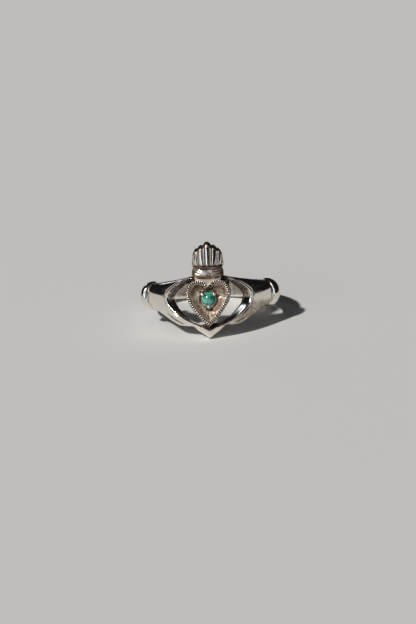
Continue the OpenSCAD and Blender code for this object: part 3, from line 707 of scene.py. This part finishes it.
# A drop of solder in the corner between the right lobe and the hand: its middle and half sizes
SOLDER_AT, SOLDER_SIZE = (2.72, -9.95, 2.05), (0.42, 0.55, 0.36)
solder = closed_mesh("solder_drop", ball(SOLDER_AT, SOLDER_SIZE), 0.8)

# %% [markdown]
# ## Crown roll
# The crown stands on a thick roll, a bar that bulges in front and has blunt ends. The maker punched a
# small ring in it and filed creases that spread to the right, and a few more at its lower left. The roll
# is a row of round sections, and the marks are cut into it by moving its points back towards its core.

# %% Make the crown roll
ROLL_W, ROLL_H, ROLL_RISE = 4.6, 2.15, 2.7
ROLL_Z = HAND_TOP + 0.15 * ROLL_H
# Creases as points of x and z, with their depth and width in mm
CREASES = [
    ([(0.35, 4.22), (0.80, 4.16), (1.47, 4.24), (2.30, 4.42)], 0.13, 0.10),
    ([(0.70, 3.80), (1.12, 3.80), (1.74, 3.92), (2.40, 4.10)], 0.16, 0.10),
    ([(0.80, 3.34), (1.31, 3.38), (1.85, 3.50), (2.35, 3.66)], 0.14, 0.10),
    ([(-2.10, 3.92), (-1.59, 3.62), (-1.15, 3.38)], 0.10, 0.09),
    ([(-1.90, 4.15), (-1.33, 3.92), (-0.95, 3.78)], 0.05, 0.08),
]
PUNCH_X, PUNCH_Z, PUNCH_R, PUNCH_DEPTH, PUNCH_W = 0.15, 3.32, 0.22, 0.09, 0.10
# How much the bar tapers to its ends, and how far its core stands off the finger hole
ROLL_TAPER, ROLL_OFF = 0.26, 0.25
# The ends and the top are tarnished; the darkening under the roll is painted shade.
ROLL_ENDS_DARK, ROLL_UNDER_PAINTED_SHADE, ROLL_TOP_DARK = 0.8, 0.66, 0.9


def make_roll():
    """Ellipses of a size (1 - |sin|^5)^0.4 along the bar, centred in front of the finger hole's wall."""
    share = np.linspace(-1, 1, 241)[:, None]
    spin = np.radians(360 * np.arange(144) / 144)
    size = np.maximum(1 - np.abs(np.sin(math.pi / 2 * share)) ** 5, 0.04) ** 0.4
    inner, depth = FINGER_R + ROLL_OFF, (ROLL_RISE - ROLL_OFF) / 2 * (1 - ROLL_TAPER * share**2)
    x = ROLL_W / 2 * np.sin(math.pi / 2 * share) + 0 * spin
    z = ROLL_Z + ROLL_H / 2 * size * np.sin(spin)
    front = np.cos(spin) > -0.1
    seen = np.stack([x, z], axis=-1)
    cut, dark = np.zeros(x.shape), np.zeros(x.shape)
    for line, deep, width in CREASES:
        groove = line_cut(seen, line, width) * front
        cut, dark = cut + deep * groove, np.maximum(dark, groove)
    ring_mark = bump(np.hypot(x - PUNCH_X, z - PUNCH_Z) - PUNCH_R, PUNCH_W) * front
    cut, dark = cut + PUNCH_DEPTH * ring_mark, np.maximum(dark, ring_mark)
    y = -(inner + depth + (depth * size - cut) * np.cos(spin))
    z = ROLL_Z + (ROLL_H / 2 * size - cut) * np.sin(spin)
    ends = ROLL_ENDS_DARK * ramp(np.abs(x), 1.35, 2.15)
    # Painted shade: the lower part of the roll is darkened, as if it mirrored the shade below it.
    under = ROLL_UNDER_PAINTED_SHADE * ramp(ROLL_Z - z, 0.0, 0.6)
    top = ROLL_TOP_DARK * ramp(z - ROLL_Z, 0.6, 0.9)
    # A thin film of tarnish all over, and painted shade that grows towards the right.
    film_and_painted_right_shade = 0.06 + 0.40 * ramp(x, -0.4, 0.9)
    dark = np.maximum.reduce([dark, ends, under, top, film_and_painted_right_shade])
    return closed_mesh("crown_roll", np.stack([x, y, z], axis=-1), dark)


crown_roll = make_roll()

# %% [markdown]
# ## Crown
# Eleven leaves stand side by side round the front of the crown, five broad and six narrow, and their tops
# bend back. Each could be a piece of its own, but on the real ring they were cut into one block of
# silver. So the front is a fan of upright curves, and their turn round the crown sets how far each stands
# in the groove between two leaves or on a leaf, and how high it ends.

# %% Make the crown
CROWN_W, CROWN_TOP, CROWN_RISE, CROWN_BACK, LEAF_GROOVE = 4.6, 8.1, 2.3, 0.45, 0.3
CROWN_TURN, LEAF_TURN = 76, 27
CROWN_FOOT = ROLL_Z + 0.22 * ROLL_H
# share of the half turn, share of the height
LEAF_TOPS = [(0.00, 1.00), (0.05, 0.995), (0.10, 0.975), (0.14, 0.94), (0.18, 0.89), (0.215, 0.865),
             (0.27, 0.885), (0.33, 0.88), (0.40, 0.85), (0.46, 0.80), (0.51, 0.765), (0.58, 0.765),
             (0.66, 0.74), (0.72, 0.70), (0.77, 0.65), (0.86, 0.60), (0.93, 0.52), (1.00, 0.40)]
# share of the height, share of the half width, set back in mm
LEAF = [(0.00, 0.84, 0.00), (0.18, 0.90, 0.05), (0.36, 0.97, 0.11), (0.54, 1.00, 0.18), (0.72, 1.00, 0.27),
        (0.86, 0.985, 0.38), (0.95, 0.97, 0.53), (1.00, 0.96, 0.75)]
# The back from the top down: share of the half width, mm forward of the flat, share of the height
LEAF_BACK = np.array([(0.96, 0.12, 0.985), (0.97, 0.0, 0.94), (1.0, 0.0, 0.7), (1.0, 0.0, 0.4),
                      (0.84, 0.0, 0.0)])
# A leaf's half width in steps, for the broad and the narrow ones, and how far a narrow one stands out
BROAD_HALF, NARROW_HALF, NARROW_OUT = 0.36, 0.13, 0.68
# The darkening of the leaf tips is painted shade.
LEAF_GROOVE_DARK, LEAF_FOOT_DARK, LEAF_TIP_PAINTED_SHADE, CROWN_BACK_DARK, NARROW_DARK = 0.85, 0.9, 1.2, 0.36, 0.40


def leaf_relief(turn):
    """How far a leaf stands out at a turn, from 0 in a groove to 1, and 1 where the leaf is a narrow one.
    Both are flat-topped rounds sqrt(1 - |f / w|^n): broad ones round whole steps of LEAF_TURN, narrow and
    lower ones halfway between them."""
    step = turn / LEAF_TURN
    off = np.abs(step - np.round(step))
    broad = np.sqrt(np.clip(1 - (off / BROAD_HALF) ** 2.8, 0, 1))
    narrow = NARROW_OUT * np.sqrt(np.clip(1 - ((0.5 - off) / NARROW_HALF) ** 2, 0, 1))
    return np.maximum(broad, narrow), 1.0 * (narrow > broad)


def crown_tarnish_and_shade(grid, relief, narrow, leaf_share):
    """How dark each point is: in the grooves, on the narrow leaves, at the foot, at the tips and behind.
    At the tips it is painted shade, where the leaves bend back. The darkest of these counts."""
    behind = grid.shape[1] - len(leaf_share)
    groove = np.maximum(ramp(1 - relief, 0.16, 0.75) * (1 - narrow), NARROW_DARK * narrow)
    groove = np.hstack([np.repeat(groove, len(leaf_share), axis=1), np.zeros((len(grid), behind))])
    foot = 1 - ramp(grid[..., 2], CROWN_FOOT + 0.35, CROWN_FOOT + 1.0)
    # Painted shade on the leaf tips, and an even darkening behind.
    painted_tips_and_back = np.concatenate([LEAF_TIP_PAINTED_SHADE * ramp(leaf_share, 0.76, 0.93), np.full(behind, CROWN_BACK_DARK)])
    return np.maximum.reduce([LEAF_GROOVE_DARK * groove, LEAF_FOOT_DARK * foot, painted_tips_and_back + 0 * foot])


def make_crown():
    """Upright rings at turns round the crown's front, each up the front of a leaf and down the back. The
    front stands back by 0.6 r (1 - cos turn), which rounds the crown, and by the depth of the groove."""
    share = np.linspace(-1, 1, 481)[:, None]
    turn = share * CROWN_TURN
    tops, heights = np.array(LEAF_TOPS).T
    height = (CROWN_TOP - CROWN_FOOT) * np.interp(np.abs(share), tops, heights)
    turn_r = CROWN_W / 2 / math.sin(math.radians(CROWN_TURN))
    x = turn_r * np.sin(np.radians(turn))
    relief, narrow = leaf_relief(turn)
    groove = LEAF_GROOVE * (1 - relief) * (1 - 0.3 * np.abs(share))
    set_back = 0.6 * turn_r * (1 - np.cos(np.radians(turn))) + groove
    leaf = smooth(LEAF, np.linspace(0, len(LEAF) - 1, 6 * (len(LEAF) - 1) + 1))
    front_r, back_r = FINGER_R + CROWN_RISE, FINGER_R + CROWN_BACK
    narrowed = leaf[:, 1] - 0.12 * (1 - share**2) * (1 - leaf[:, 0])
    front_y = -np.maximum(front_r - set_back - leaf[:, 2], back_r + 0.35 - leaf[:, 2] / 2)
    front = np.stack([x * narrowed, front_y, CROWN_FOOT + leaf[:, 0] * height], axis=-1)
    back = np.stack([x * LEAF_BACK[:, 0], -back_r - LEAF_BACK[:, 1] + 0 * x,
                     CROWN_FOOT + LEAF_BACK[:, 2] * height], axis=-1)
    grid = np.concatenate([front, back], axis=1)
    return closed_mesh("crown", grid, crown_tarnish_and_shade(grid, relief, narrow, leaf[:, 0]))


crown = make_crown()

# %% [markdown]
# ## Stone and setting
# The stone is a cabochon: a low dome, flat underneath. It sits in a seat with a low collar, and three
# grains of silver, raised with a graver and rounded with a beading tool, hold its edge. Collar, dome and
# grains are all turned shapes, a profile of radius and height carried round an axis that points out of
# the heart.

# %% Make the stone, the collar and the grains
stone_base = dish_r - SEAT_DEPTH
dome_r = (STONE_D**2 / 4 + STONE_H**2) / (2 * STONE_H)
dome_h = stone_base + STONE_GAP + STONE_H - dome_r
# The post under a grain: radius, and height from the middle of the grain
GRAIN_POST = [(0.235, -0.17), (0.225, -0.28), (0.22, -0.45), (0.22, -0.62), (0.1, -0.66), (0.02, -0.66)]
# How far down the dome from its top a grain touches it, in degrees
GRAIN_TURN = 52
GRAIN_DARK, COLLAR_DARK = 0.9, 0.7


def rotation(degrees, axis):
    """A matrix that turns rows of points by an angle round an axis."""
    return np.array(Matrix.Rotation(math.radians(degrees), 3, axis)).T


def turned(profile, sides, tilt=0.0):
    """A profile of (radius, height) carried round an axis out of the heart: (r cos s, r sin s, h). The
    axis then leans to the right by the tilt. Across is x, up the finger is y."""
    profile = np.array(profile, float)
    s = 2 * math.pi * np.arange(sides) / sides
    radius, height = profile[:, :1], profile[:, 1:]
    shape = np.stack([radius * np.cos(s), radius * np.sin(s), height + 0 * s], axis=-1)
    return shape @ rotation(tilt, "Y")


def on_heart(shape):
    """A shape made round the stone's axis, put in place: (x, y, h) goes to (x, -h, y + stone z)."""
    return np.stack([shape[..., 0], -shape[..., 2], STONE_Z + shape[..., 1]], axis=-1)


def make_stone():
    """A spherical cap on a flat base, with a softened edge between them."""
    top = math.asin(STONE_D / 2 / dome_r * 0.985)
    angles = np.linspace(0.02, top, 40)
    cap = np.stack([dome_r * np.sin(angles), dome_h + dome_r * np.cos(angles)], axis=-1)
    base = stone_base + STONE_GAP
    rim = STONE_D / 2
    edge = [(rim, base + 0.06), (rim, base + 0.03), (rim - 0.03, base), (0.5, base), (0.05, base)]
    return closed_mesh("stone_dome", on_heart(turned(np.concatenate([cap, edge]), 128)))


def make_collar():
    """A low ring with a round top, whose outer side runs into the dish."""
    inner = STONE_D / 2 + STONE_GAP
    outer, top = inner + COLLAR_W, dish_r + COLLAR_H
    t = np.radians(np.linspace(180, 0, 17))
    crest = np.stack([inner + COLLAR_W / 2 * (1 + np.cos(t)), top - 0.1 + 0.1 * np.sin(t)], axis=-1)
    profile = np.concatenate([[(inner, stone_base - 0.1)], crest, [(outer, stone_base - 0.1)]])
    grid = on_heart(turned(profile, 128)).transpose(1, 0, 2)
    return closed_mesh("collar", grid, COLLAR_DARK, loop=True)


def make_grains():
    """A ball on a tapering post for each prong angle. The ball touches the dome, less the gap, at
    GRAIN_TURN degrees from its top, and the post leans over from the collar to the ball."""
    away = dome_r + PRONG_D / 2 + STONE_GAP
    out, up = away * math.sin(math.radians(GRAIN_TURN)), away * math.cos(math.radians(GRAIN_TURN))
    grain_h = dome_h + up
    seat_r = STONE_D / 2 + STONE_GAP + 0.9 * COLLAR_W
    lean_out = math.degrees(math.atan((seat_r - out) / (grain_h - stone_base)))
    t = np.linspace(0.06, 2.0, 28)
    ball_line = PRONG_D / 2 * np.stack([np.sin(t), np.cos(t)], axis=-1)
    shape = turned(np.concatenate([ball_line, GRAIN_POST]), 48, -lean_out) + [out, 0, grain_h]
    low = ramp(grain_h - shape[..., 2], 0.12, 0.38)
    return [closed_mesh("grain_%d" % number, on_heart(shape @ rotation(angle, "Z")), GRAIN_DARK * low)
            for number, angle in enumerate(PRONGS, 1)]


stone = make_stone()
collar = make_collar()
grains = make_grains()

# %% [markdown]
# ## Silver
# Polished silver mirrors what is around it, so nearly all of its look comes from its shape and from the
# light. Wear leaves hair-fine scratches, which spread the mirror image a little. Tarnish is silver
# sulphide: a thin film is straw-coloured, a thicker one brown, and the thick crust in a crease is black
# and dull. Where it lies comes from each mesh, as an attribute, which on some pieces also holds painted
# shade, and noise breaks it up. Both effects are one node group, used by each silver.

# %% Helpers for nodes
def node(tree, kind, place, **values):
    """A node of a kind at a place in the editor, with the values of its inputs set by name."""
    made = tree.nodes.new(kind)
    made.location = place
    for name, value in values.items():
        made.inputs[name.replace("_", " ")].default_value = value
    return made


def math_node(tree, operation, first, second, place):
    """A Math node. first and second are sockets to link or numbers. Sums and differences are clamped."""
    made = node(tree, "ShaderNodeMath", place)
    made.operation = operation
    made.use_clamp = operation in ("ADD", "SUBTRACT")
    for socket, value in zip(made.inputs, (first, second)):
        if isinstance(value, (int, float)):
            socket.default_value = value
        else:
            tree.links.new(value, socket)
    return made.outputs[0]


def colour_ramp(tree, amount, place, stops):
    """A Color Ramp node that reads an amount. stops are pairs of a position and a colour."""
    made = node(tree, "ShaderNodeValToRGB", place)
    elements = made.color_ramp.elements
    while len(elements) < len(stops):
        elements.new(0.5)
    for element, (position, colour) in zip(elements, stops):
        element.position = position
        element.color = (*colour, 1.0)
    tree.links.new(amount, made.inputs["Fac"])
    return made.outputs["Color"]


# %% [markdown]
# ## Tarnish, painted shade and scratches as one group
# The group takes the darkness of a point, from tarnish and painted shade, and how polished the piece is,
# and gives colour, roughness, metal and bump. One number, that darkness after noise has broken it up,
# drives them all, so that a black crease is also dull and no longer a clean metal, and so is painted
# shade. Painting each mesh by hand would do, but it couldn't be changed in one place.

# %% The worn and shaded silver group
TARNISH_COLOURS = [
    (0.00, (0.93, 0.905, 0.855)), (0.22, (0.85, 0.79, 0.70)), (0.45, (0.52, 0.455, 0.385)),
    (0.68, (0.21, 0.14, 0.095)), (0.90, (0.030, 0.021, 0.017)), (1.00, (0.010, 0.008, 0.008)),
]
GROUP_INPUTS = [("Tarnish", 0.0), ("Polish", 0.1), ("Film", 0.05), ("Scratches", 0.1)]
GROUP_OUTPUTS = [("Color", "Color"), ("Roughness", "Float"), ("Metallic", "Float"), ("Normal", "Vector")]


def make_worn_and_shaded_silver():
    """amount = dark (2.3 (blotch - 0.34) + 0.55) + 2 cloud film, where dark is a point's darkening from
    tarnishing and painted shade, and it sets the colour. Roughness is polish + scratches (hair - 0.45) +
    0.8 amount^1.3, metallic is 1 - 0.55 amount^2.5 and the height of the bump is 0.35 hair + fine amount."""
    group = bpy.data.node_groups.new("worn_silver", "ShaderNodeTree")
    for name, value in GROUP_INPUTS:
        socket = group.interface.new_socket(name, in_out="INPUT", socket_type="NodeSocketFloat")
        socket.default_value = value
    for name, kind in GROUP_OUTPUTS:
        group.interface.new_socket(name, in_out="OUTPUT", socket_type="NodeSocket" + kind)
    enter = node(group, "NodeGroupInput", (-1200, 300))
    leave = node(group, "NodeGroupOutput", (500, 0))
    link = group.links.new

    def calc(operation, first, second, *place):
        return math_node(group, operation, first, second, place)

    place = node(group, "ShaderNodeTexCoord", (-1200, 0)).outputs["Object"]
    blotch = node(group, "ShaderNodeTexNoise", (-1000, 200), Scale=1400.0, Detail=5.0, Roughness=0.6)
    cloud = node(group, "ShaderNodeTexNoise", (-1000, 0), Scale=380.0, Detail=3.0, Roughness=0.5)
    hair_map = node(group, "ShaderNodeMapping", (-1000, -200), Rotation=(0.3, 0.5, 0.4),
                    Scale=(900, 9000, 5200))
    hair = node(group, "ShaderNodeTexNoise", (-800, -200), Scale=1.0, Detail=2.0, Roughness=0.55)
    fine = node(group, "ShaderNodeTexNoise", (-800, -400), Scale=6500.0, Detail=3.0, Roughness=0.6)
    for target in (blotch, cloud, hair_map, fine):
        link(place, target.inputs["Vector"])
    link(hair_map.outputs[0], hair.inputs["Vector"])

    broken = calc("MULTIPLY", calc("SUBTRACT", blotch.outputs["Fac"], 0.34, -800, 200), 2.3, -640, 200)
    crease = calc("MULTIPLY", enter.outputs["Tarnish"], calc("ADD", broken, 0.55, -480, 200), -320, 200)
    clouded = calc("MULTIPLY", cloud.outputs["Fac"], 2.0, -800, 0)
    film = calc("MULTIPLY", clouded, enter.outputs["Film"], -480, 0)
    amount = calc("ADD", crease, film, -160, 150)
    link(colour_ramp(group, amount, (0, 250), TARNISH_COLOURS), leave.inputs["Color"])

    dull = calc("MULTIPLY", calc("POWER", amount, 1.3, 0, 0), 0.8, 160, 0)
    deep_hair = calc("SUBTRACT", hair.outputs["Fac"], 0.45, -640, -200)
    spread = calc("MULTIPLY", deep_hair, enter.outputs["Scratches"], -320, -200)
    scratched = calc("ADD", enter.outputs["Polish"], spread, 160, -150)
    link(calc("ADD", scratched, dull, 320, -100), leave.inputs["Roughness"])

    crust = calc("MULTIPLY", calc("POWER", amount, 2.5, 0, -50), 0.55, 160, -50)
    link(calc("SUBTRACT", 1.0, crust, 320, 0), leave.inputs["Metallic"])

    shallow_hair = calc("MULTIPLY", hair.outputs["Fac"], 0.35, -480, -350)
    grit = calc("MULTIPLY", fine.outputs["Fac"], amount, -480, -450)
    relief = node(group, "ShaderNodeBump", (0, -400), Strength=0.4, Distance=0.00003)
    link(calc("ADD", shallow_hair, grit, -160, -400), relief.inputs["Height"])
    link(relief.outputs["Normal"], leave.inputs["Normal"])
    return group


worn_silver = make_worn_and_shaded_silver()
print("Group worn_silver has", len(worn_silver.nodes), "nodes")

# %% [markdown]
# ## Two silvers
# Where a polishing cloth reaches, on the band, the hands, the cuffs, the roll and the crown, silver is
# bright. The heart, its setting and the seat behind it were left nearly as cast, so they are duller. Both
# use the same group with other numbers, so they still look like one metal.

# %% The two silvers
SHADER_SOCKETS = [("Color", "Base Color"), ("Roughness", "Roughness"), ("Metallic", "Metallic"),
                  ("Normal", "Normal")]


def make_silver(name, polish, film, scratches):
    """A metal whose colour, roughness and normal come from the worn and shaded silver group."""
    material = bpy.data.materials.new(name)
    material.use_nodes = True
    tree = material.node_tree
    wear_and_shade = node(tree, "ShaderNodeGroup", (-300, 0))
    wear_and_shade.node_tree = worn_silver
    for socket, value in (("Polish", polish), ("Film", film), ("Scratches", scratches)):
        wear_and_shade.inputs[socket].default_value = value
    tarnish = node(tree, "ShaderNodeAttribute", (-500, 0))
    tarnish.attribute_name = "tarnish"
    tree.links.new(tarnish.outputs["Fac"], wear_and_shade.inputs["Tarnish"])
    for ours, theirs in SHADER_SOCKETS:
        tree.links.new(wear_and_shade.outputs[ours], tree.nodes["Principled BSDF"].inputs[theirs])
    print("%s: polish %.2f, film %.2f, scratches %.2f" % (name, polish, film, scratches))
    return material


polished_silver = make_silver("polished_silver", 0.07, 0.10, 0.28)
cast_silver = make_silver("cast_silver", 0.19, 0.14, 0.40)

# %% [markdown]
# ## Green stone
# The cabochon is a green, turquoise-like stone. Grey matrix clouds its middle, darker green lies in
# patches, and a few dark specks are scattered over it. A clear polish on top gives a small bright glint.
# The colours are mixed by noise on the stone's own place, so the pattern stays with it.

# %% The green stone
GREENS = [(0.38, (0.002, 0.12, 0.08)), (0.64, (0.08, 0.58, 0.43))]
MATRIX_STOPS = [(0.46, (0, 0, 0)), (0.60, (1, 1, 1))]
SPECK_STOPS = [(0.57, (0, 0, 0)), (0.66, (1, 1, 1))]
MATRIX_GREY, SPECK_DARK = (0.20, 0.24, 0.19), (0.012, 0.05, 0.045)
STONE_SOCKETS = [("Roughness", 0.16), ("Coat Weight", 1.0), ("Coat Roughness", 0.09),
                 ("Subsurface Weight", 0.15), ("Subsurface Radius", (0.0002, 0.0006, 0.0004))]


def mixed(tree, factor, under, over, place):
    """A colour Mix node: a plain colour laid over a colour from a socket, as far as the factor says."""
    made = node(tree, "ShaderNodeMix", place)
    made.data_type = "RGBA"
    tree.links.new(factor, made.inputs[0])
    tree.links.new(under, made.inputs[6])
    made.inputs[7].default_value = (*over, 1.0)
    return made.outputs[2]


def make_green_stone():
    """Two greens mixed by clouds, then grey matrix that fades from 0.1 to 0.9 mm from the middle, then
    specks."""
    material = bpy.data.materials.new("green_stone")
    material.use_nodes = True
    tree = material.node_tree
    shader = tree.nodes["Principled BSDF"]
    for socket, value in STONE_SOCKETS:
        shader.inputs[socket].default_value = value
    link = tree.links.new
    centre = to_row(np.array([0.0, -(stone_base + STONE_H), STONE_Z]))
    place = node(tree, "ShaderNodeTexCoord", (-1400, 0)).outputs["Object"]
    shift = node(tree, "ShaderNodeMapping", (-1200, 0), Location=tuple(-centre))
    link(place, shift.inputs["Vector"])
    veins = node(tree, "ShaderNodeTexNoise", (-1000, 200), Scale=1500.0, Detail=6.0, Roughness=0.65,
                 Distortion=0.6)
    clouds = node(tree, "ShaderNodeTexNoise", (-1000, 0), Scale=900.0, Detail=3.0, Roughness=0.5)
    specks = node(tree, "ShaderNodeTexNoise", (-1000, -200), Scale=2600.0, Detail=2.0, Roughness=0.5)
    for texture in (veins, clouds, specks):
        link(shift.outputs[0], texture.inputs["Vector"])
    distance = node(tree, "ShaderNodeVectorMath", (-1000, -400))
    distance.operation = "LENGTH"
    link(shift.outputs[0], distance.inputs[0])
    middle = node(tree, "ShaderNodeMapRange", (-800, -400), From_Min=0.0001, From_Max=0.0009,
                  To_Min=1.0, To_Max=0.0)
    link(distance.outputs["Value"], middle.inputs["Value"])
    green = colour_ramp(tree, clouds.outputs["Fac"], (-700, 100), GREENS)
    matrix = colour_ramp(tree, veins.outputs["Fac"], (-700, 350), MATRIX_STOPS)
    grey_amount = math_node(tree, "MULTIPLY", matrix, middle.outputs["Result"], (-450, 300))
    veined = mixed(tree, grey_amount, green, MATRIX_GREY, (-250, 200))
    speck_amount = colour_ramp(tree, specks.outputs["Fac"], (-700, -200), SPECK_STOPS)
    link(mixed(tree, speck_amount, veined, SPECK_DARK, (-50, 100)), shader.inputs["Base Color"])
    print("green_stone has", len(tree.nodes), "nodes")
    return material


green_stone = make_green_stone()

# %% [markdown]
# ## Pieces, bodies and nodes
# Every piece rides on the one body of the ring, takes the material slot of its metal or stone, and stands
# in for the CAD node that it was drawn over. Nothing on the ring moves, so there is nothing more to tie.

# %% Give each piece its finish, body, slot and node
SILVER_PIECES = [
    (polished_silver, [band, hands, *cuffs, crown_roll, crown]),
    (cast_silver, [heart, plate, web, solder, collar, *grains]),
]
for material, pieces in SILVER_PIECES:
    for piece in pieces:
        piece.data.materials.append(material)
        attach(piece, "root")
        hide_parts("ring")
stone.data.materials.append(green_stone)
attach(stone, "root")
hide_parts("stone")
print("Silver pieces:", sum(len(pieces) for _, pieces in SILVER_PIECES), "and one stone")

# %% [markdown]
# ## Floor
# The floor is pale and plain. Silver needs something to mirror, and a pale floor fills its lower halves,
# as cloth does under the real ring. It is so wide that its edge lies like a horizon in the metal.

# %% Floor
FLOOR_HALF, FLOOR_COLOUR = 1.5, (0.72, 0.713, 0.706, 1)


def make_floor():
    """A square sheet at height 0, made of one face."""
    corners = [(x * FLOOR_HALF, y * FLOOR_HALF, 0) for x, y in ((-1, -1), (1, -1), (1, 1), (-1, 1))]
    mesh = bpy.data.meshes.new("floor")
    mesh.from_pydata(corners, [], [(0, 1, 2, 3)])
    floor = bpy.data.objects.new("floor", mesh)
    bpy.context.scene.collection.objects.link(floor)
    material = bpy.data.materials.new("pale_floor")
    material.use_nodes = True
    shader = material.node_tree.nodes["Principled BSDF"]
    shader.inputs["Base Color"].default_value = FLOOR_COLOUR
    shader.inputs["Roughness"].default_value = 0.9
    shader.inputs["Specular IOR Level"].default_value = 0.1
    floor.data.materials.append(material)
    print("Floor %.0f m wide" % (2 * FLOOR_HALF))


make_floor()

# %% [markdown]
# ## Light
# The key is a sun lamp a few degrees wide, at the left, in front and well above, so that a shadow with
# soft edges falls to the right and behind. Silver shows what it mirrors, so the rest of the light is
# placed for its mirror image. The room is nearly black, which darkens the upper halves of the hands. Dim
# rectangles stand in it like windows: a strip and a wide one in front, which whiten the left of each
# crown leaf and of the roll, a low one at the right, and a small one behind for the opening's right wall.
# They lighten the shadow too.

# %% Lights and world
KEY_SIDE, KEY_HEIGHT, KEY_WIDE = -38, 43, 4
KEY_STRENGTH, KEY_COLOUR = 3.1, (1.0, 0.98, 0.95)
ROOM_COLOUR = (0.006, 0.0062, 0.007, 1)
WINDOW_FAR = 1.2
# name, direction from the ring, width and height in metres, power in watts, colour
WINDOWS = [
    ("strip", (-0.30, -0.86, 0.42), (0.14, 0.90), 0.50, (0.90, 0.95, 1.0)),
    ("window_left", (-0.53, -0.80, 0.28), (1.30, 0.50), 1.90, (0.76, 0.87, 1.0)),
    ("window_right", (0.325, -0.944, 0.055), (0.69, 0.13), 0.30, (0.74, 0.85, 1.0)),
    ("window_back", (-0.50, 0.73, 0.47), (0.24, 0.36), 0.45, (0.85, 0.92, 1.0)),
]


def towards(side, height):
    """A direction from the ring, side degrees to the right of its front and height degrees up:
    (sin s cos h, -cos s cos h, sin h)."""
    s, h = math.radians(side), math.radians(height)
    return Vector((math.sin(s) * math.cos(h), -math.cos(s) * math.cos(h), math.sin(h)))


def add_light(name, kind, direction, distance, colour, energy):
    """A light of a kind, at a distance in a direction from the ring, facing the ring."""
    data = bpy.data.lights.new(name, kind)
    data.color = colour
    data.energy = energy
    light = bpy.data.objects.new(name, data)
    light.location = direction * distance
    light.rotation_euler = direction.to_track_quat("Z", "Y").to_euler()
    bpy.context.scene.collection.objects.link(light)
    return data


world = bpy.data.worlds.new("dark_room")
world.use_nodes = True
world.node_tree.nodes["Background"].inputs["Color"].default_value = ROOM_COLOUR
bpy.context.scene.world = world
key = add_light("key", "SUN", towards(KEY_SIDE, KEY_HEIGHT), 0.0, KEY_COLOUR, KEY_STRENGTH)
key.angle = math.radians(KEY_WIDE)
for name, direction, size, power, colour in WINDOWS:
    window = add_light(name, "AREA", Vector(direction).normalized(), WINDOW_FAR, colour, power)
    window.shape = "RECTANGLE"
    window.size, window.size_y = size
print("One sun and", len(WINDOWS), "windows")

# %% [markdown]
# ## Camera
# The ring was seen from a little right of its front and from above, and from so far that it hardly
# narrows with distance. A long lens gives that. The camera first looks at a point of the ring. It is then
# turned by as much as that point lies off the middle of the frame, so no lens shift is needed.

# %% Camera
VIEW_SIDE, VIEW_HEIGHT, VIEW_ROLL = 2.5, 18, math.radians(2.6)
FRAME_W, FRAME_H = 416, 624
FOCAL_PX, PX_PER_MM = 8000, 6.88
AIM_POINT, AIM_PX = Vector((0, -9.5, 6.5)) * MM, (208.3, 295.5)


def make_camera():
    """A camera whose axes are right, up and back. For a pixel (x, y) of the aim point, with the lens f
    pixels long, the view runs along -out - right (x - w / 2) / f - up (h / 2 - y) / f."""
    lens = bpy.data.cameras.new("camera")
    lens.sensor_width = 36
    lens.lens = FOCAL_PX * lens.sensor_width / FRAME_H
    lens.clip_start = 0.01
    lens.clip_end = 10
    out, level = towards(VIEW_SIDE, VIEW_HEIGHT), -towards(VIEW_SIDE - 90, 0)
    upright = out.cross(level)
    right = level * math.cos(VIEW_ROLL) - upright * math.sin(VIEW_ROLL)
    up = level * math.sin(VIEW_ROLL) + upright * math.cos(VIEW_ROLL)
    aim_right = (AIM_PX[0] - FRAME_W / 2) / FOCAL_PX
    aim_up = (FRAME_H / 2 - AIM_PX[1]) / FOCAL_PX
    ahead = (-out - right * aim_right - up * aim_up).normalized()
    up = (up - ahead * up.dot(ahead)).normalized()
    turn = Matrix((ahead.cross(up), up, -ahead)).transposed().to_4x4()
    camera = bpy.data.objects.new("camera", lens)
    camera.matrix_world = Matrix.Translation(AIM_POINT + out * FOCAL_PX / PX_PER_MM * MM) @ turn
    bpy.context.scene.collection.objects.link(camera)
    print("Camera %.0f mm away with a %.0f mm lens" % (FOCAL_PX / PX_PER_MM, lens.lens))
    return camera


bpy.context.scene.camera = make_camera()
bpy.context.scene.view_settings.view_transform = "Standard"
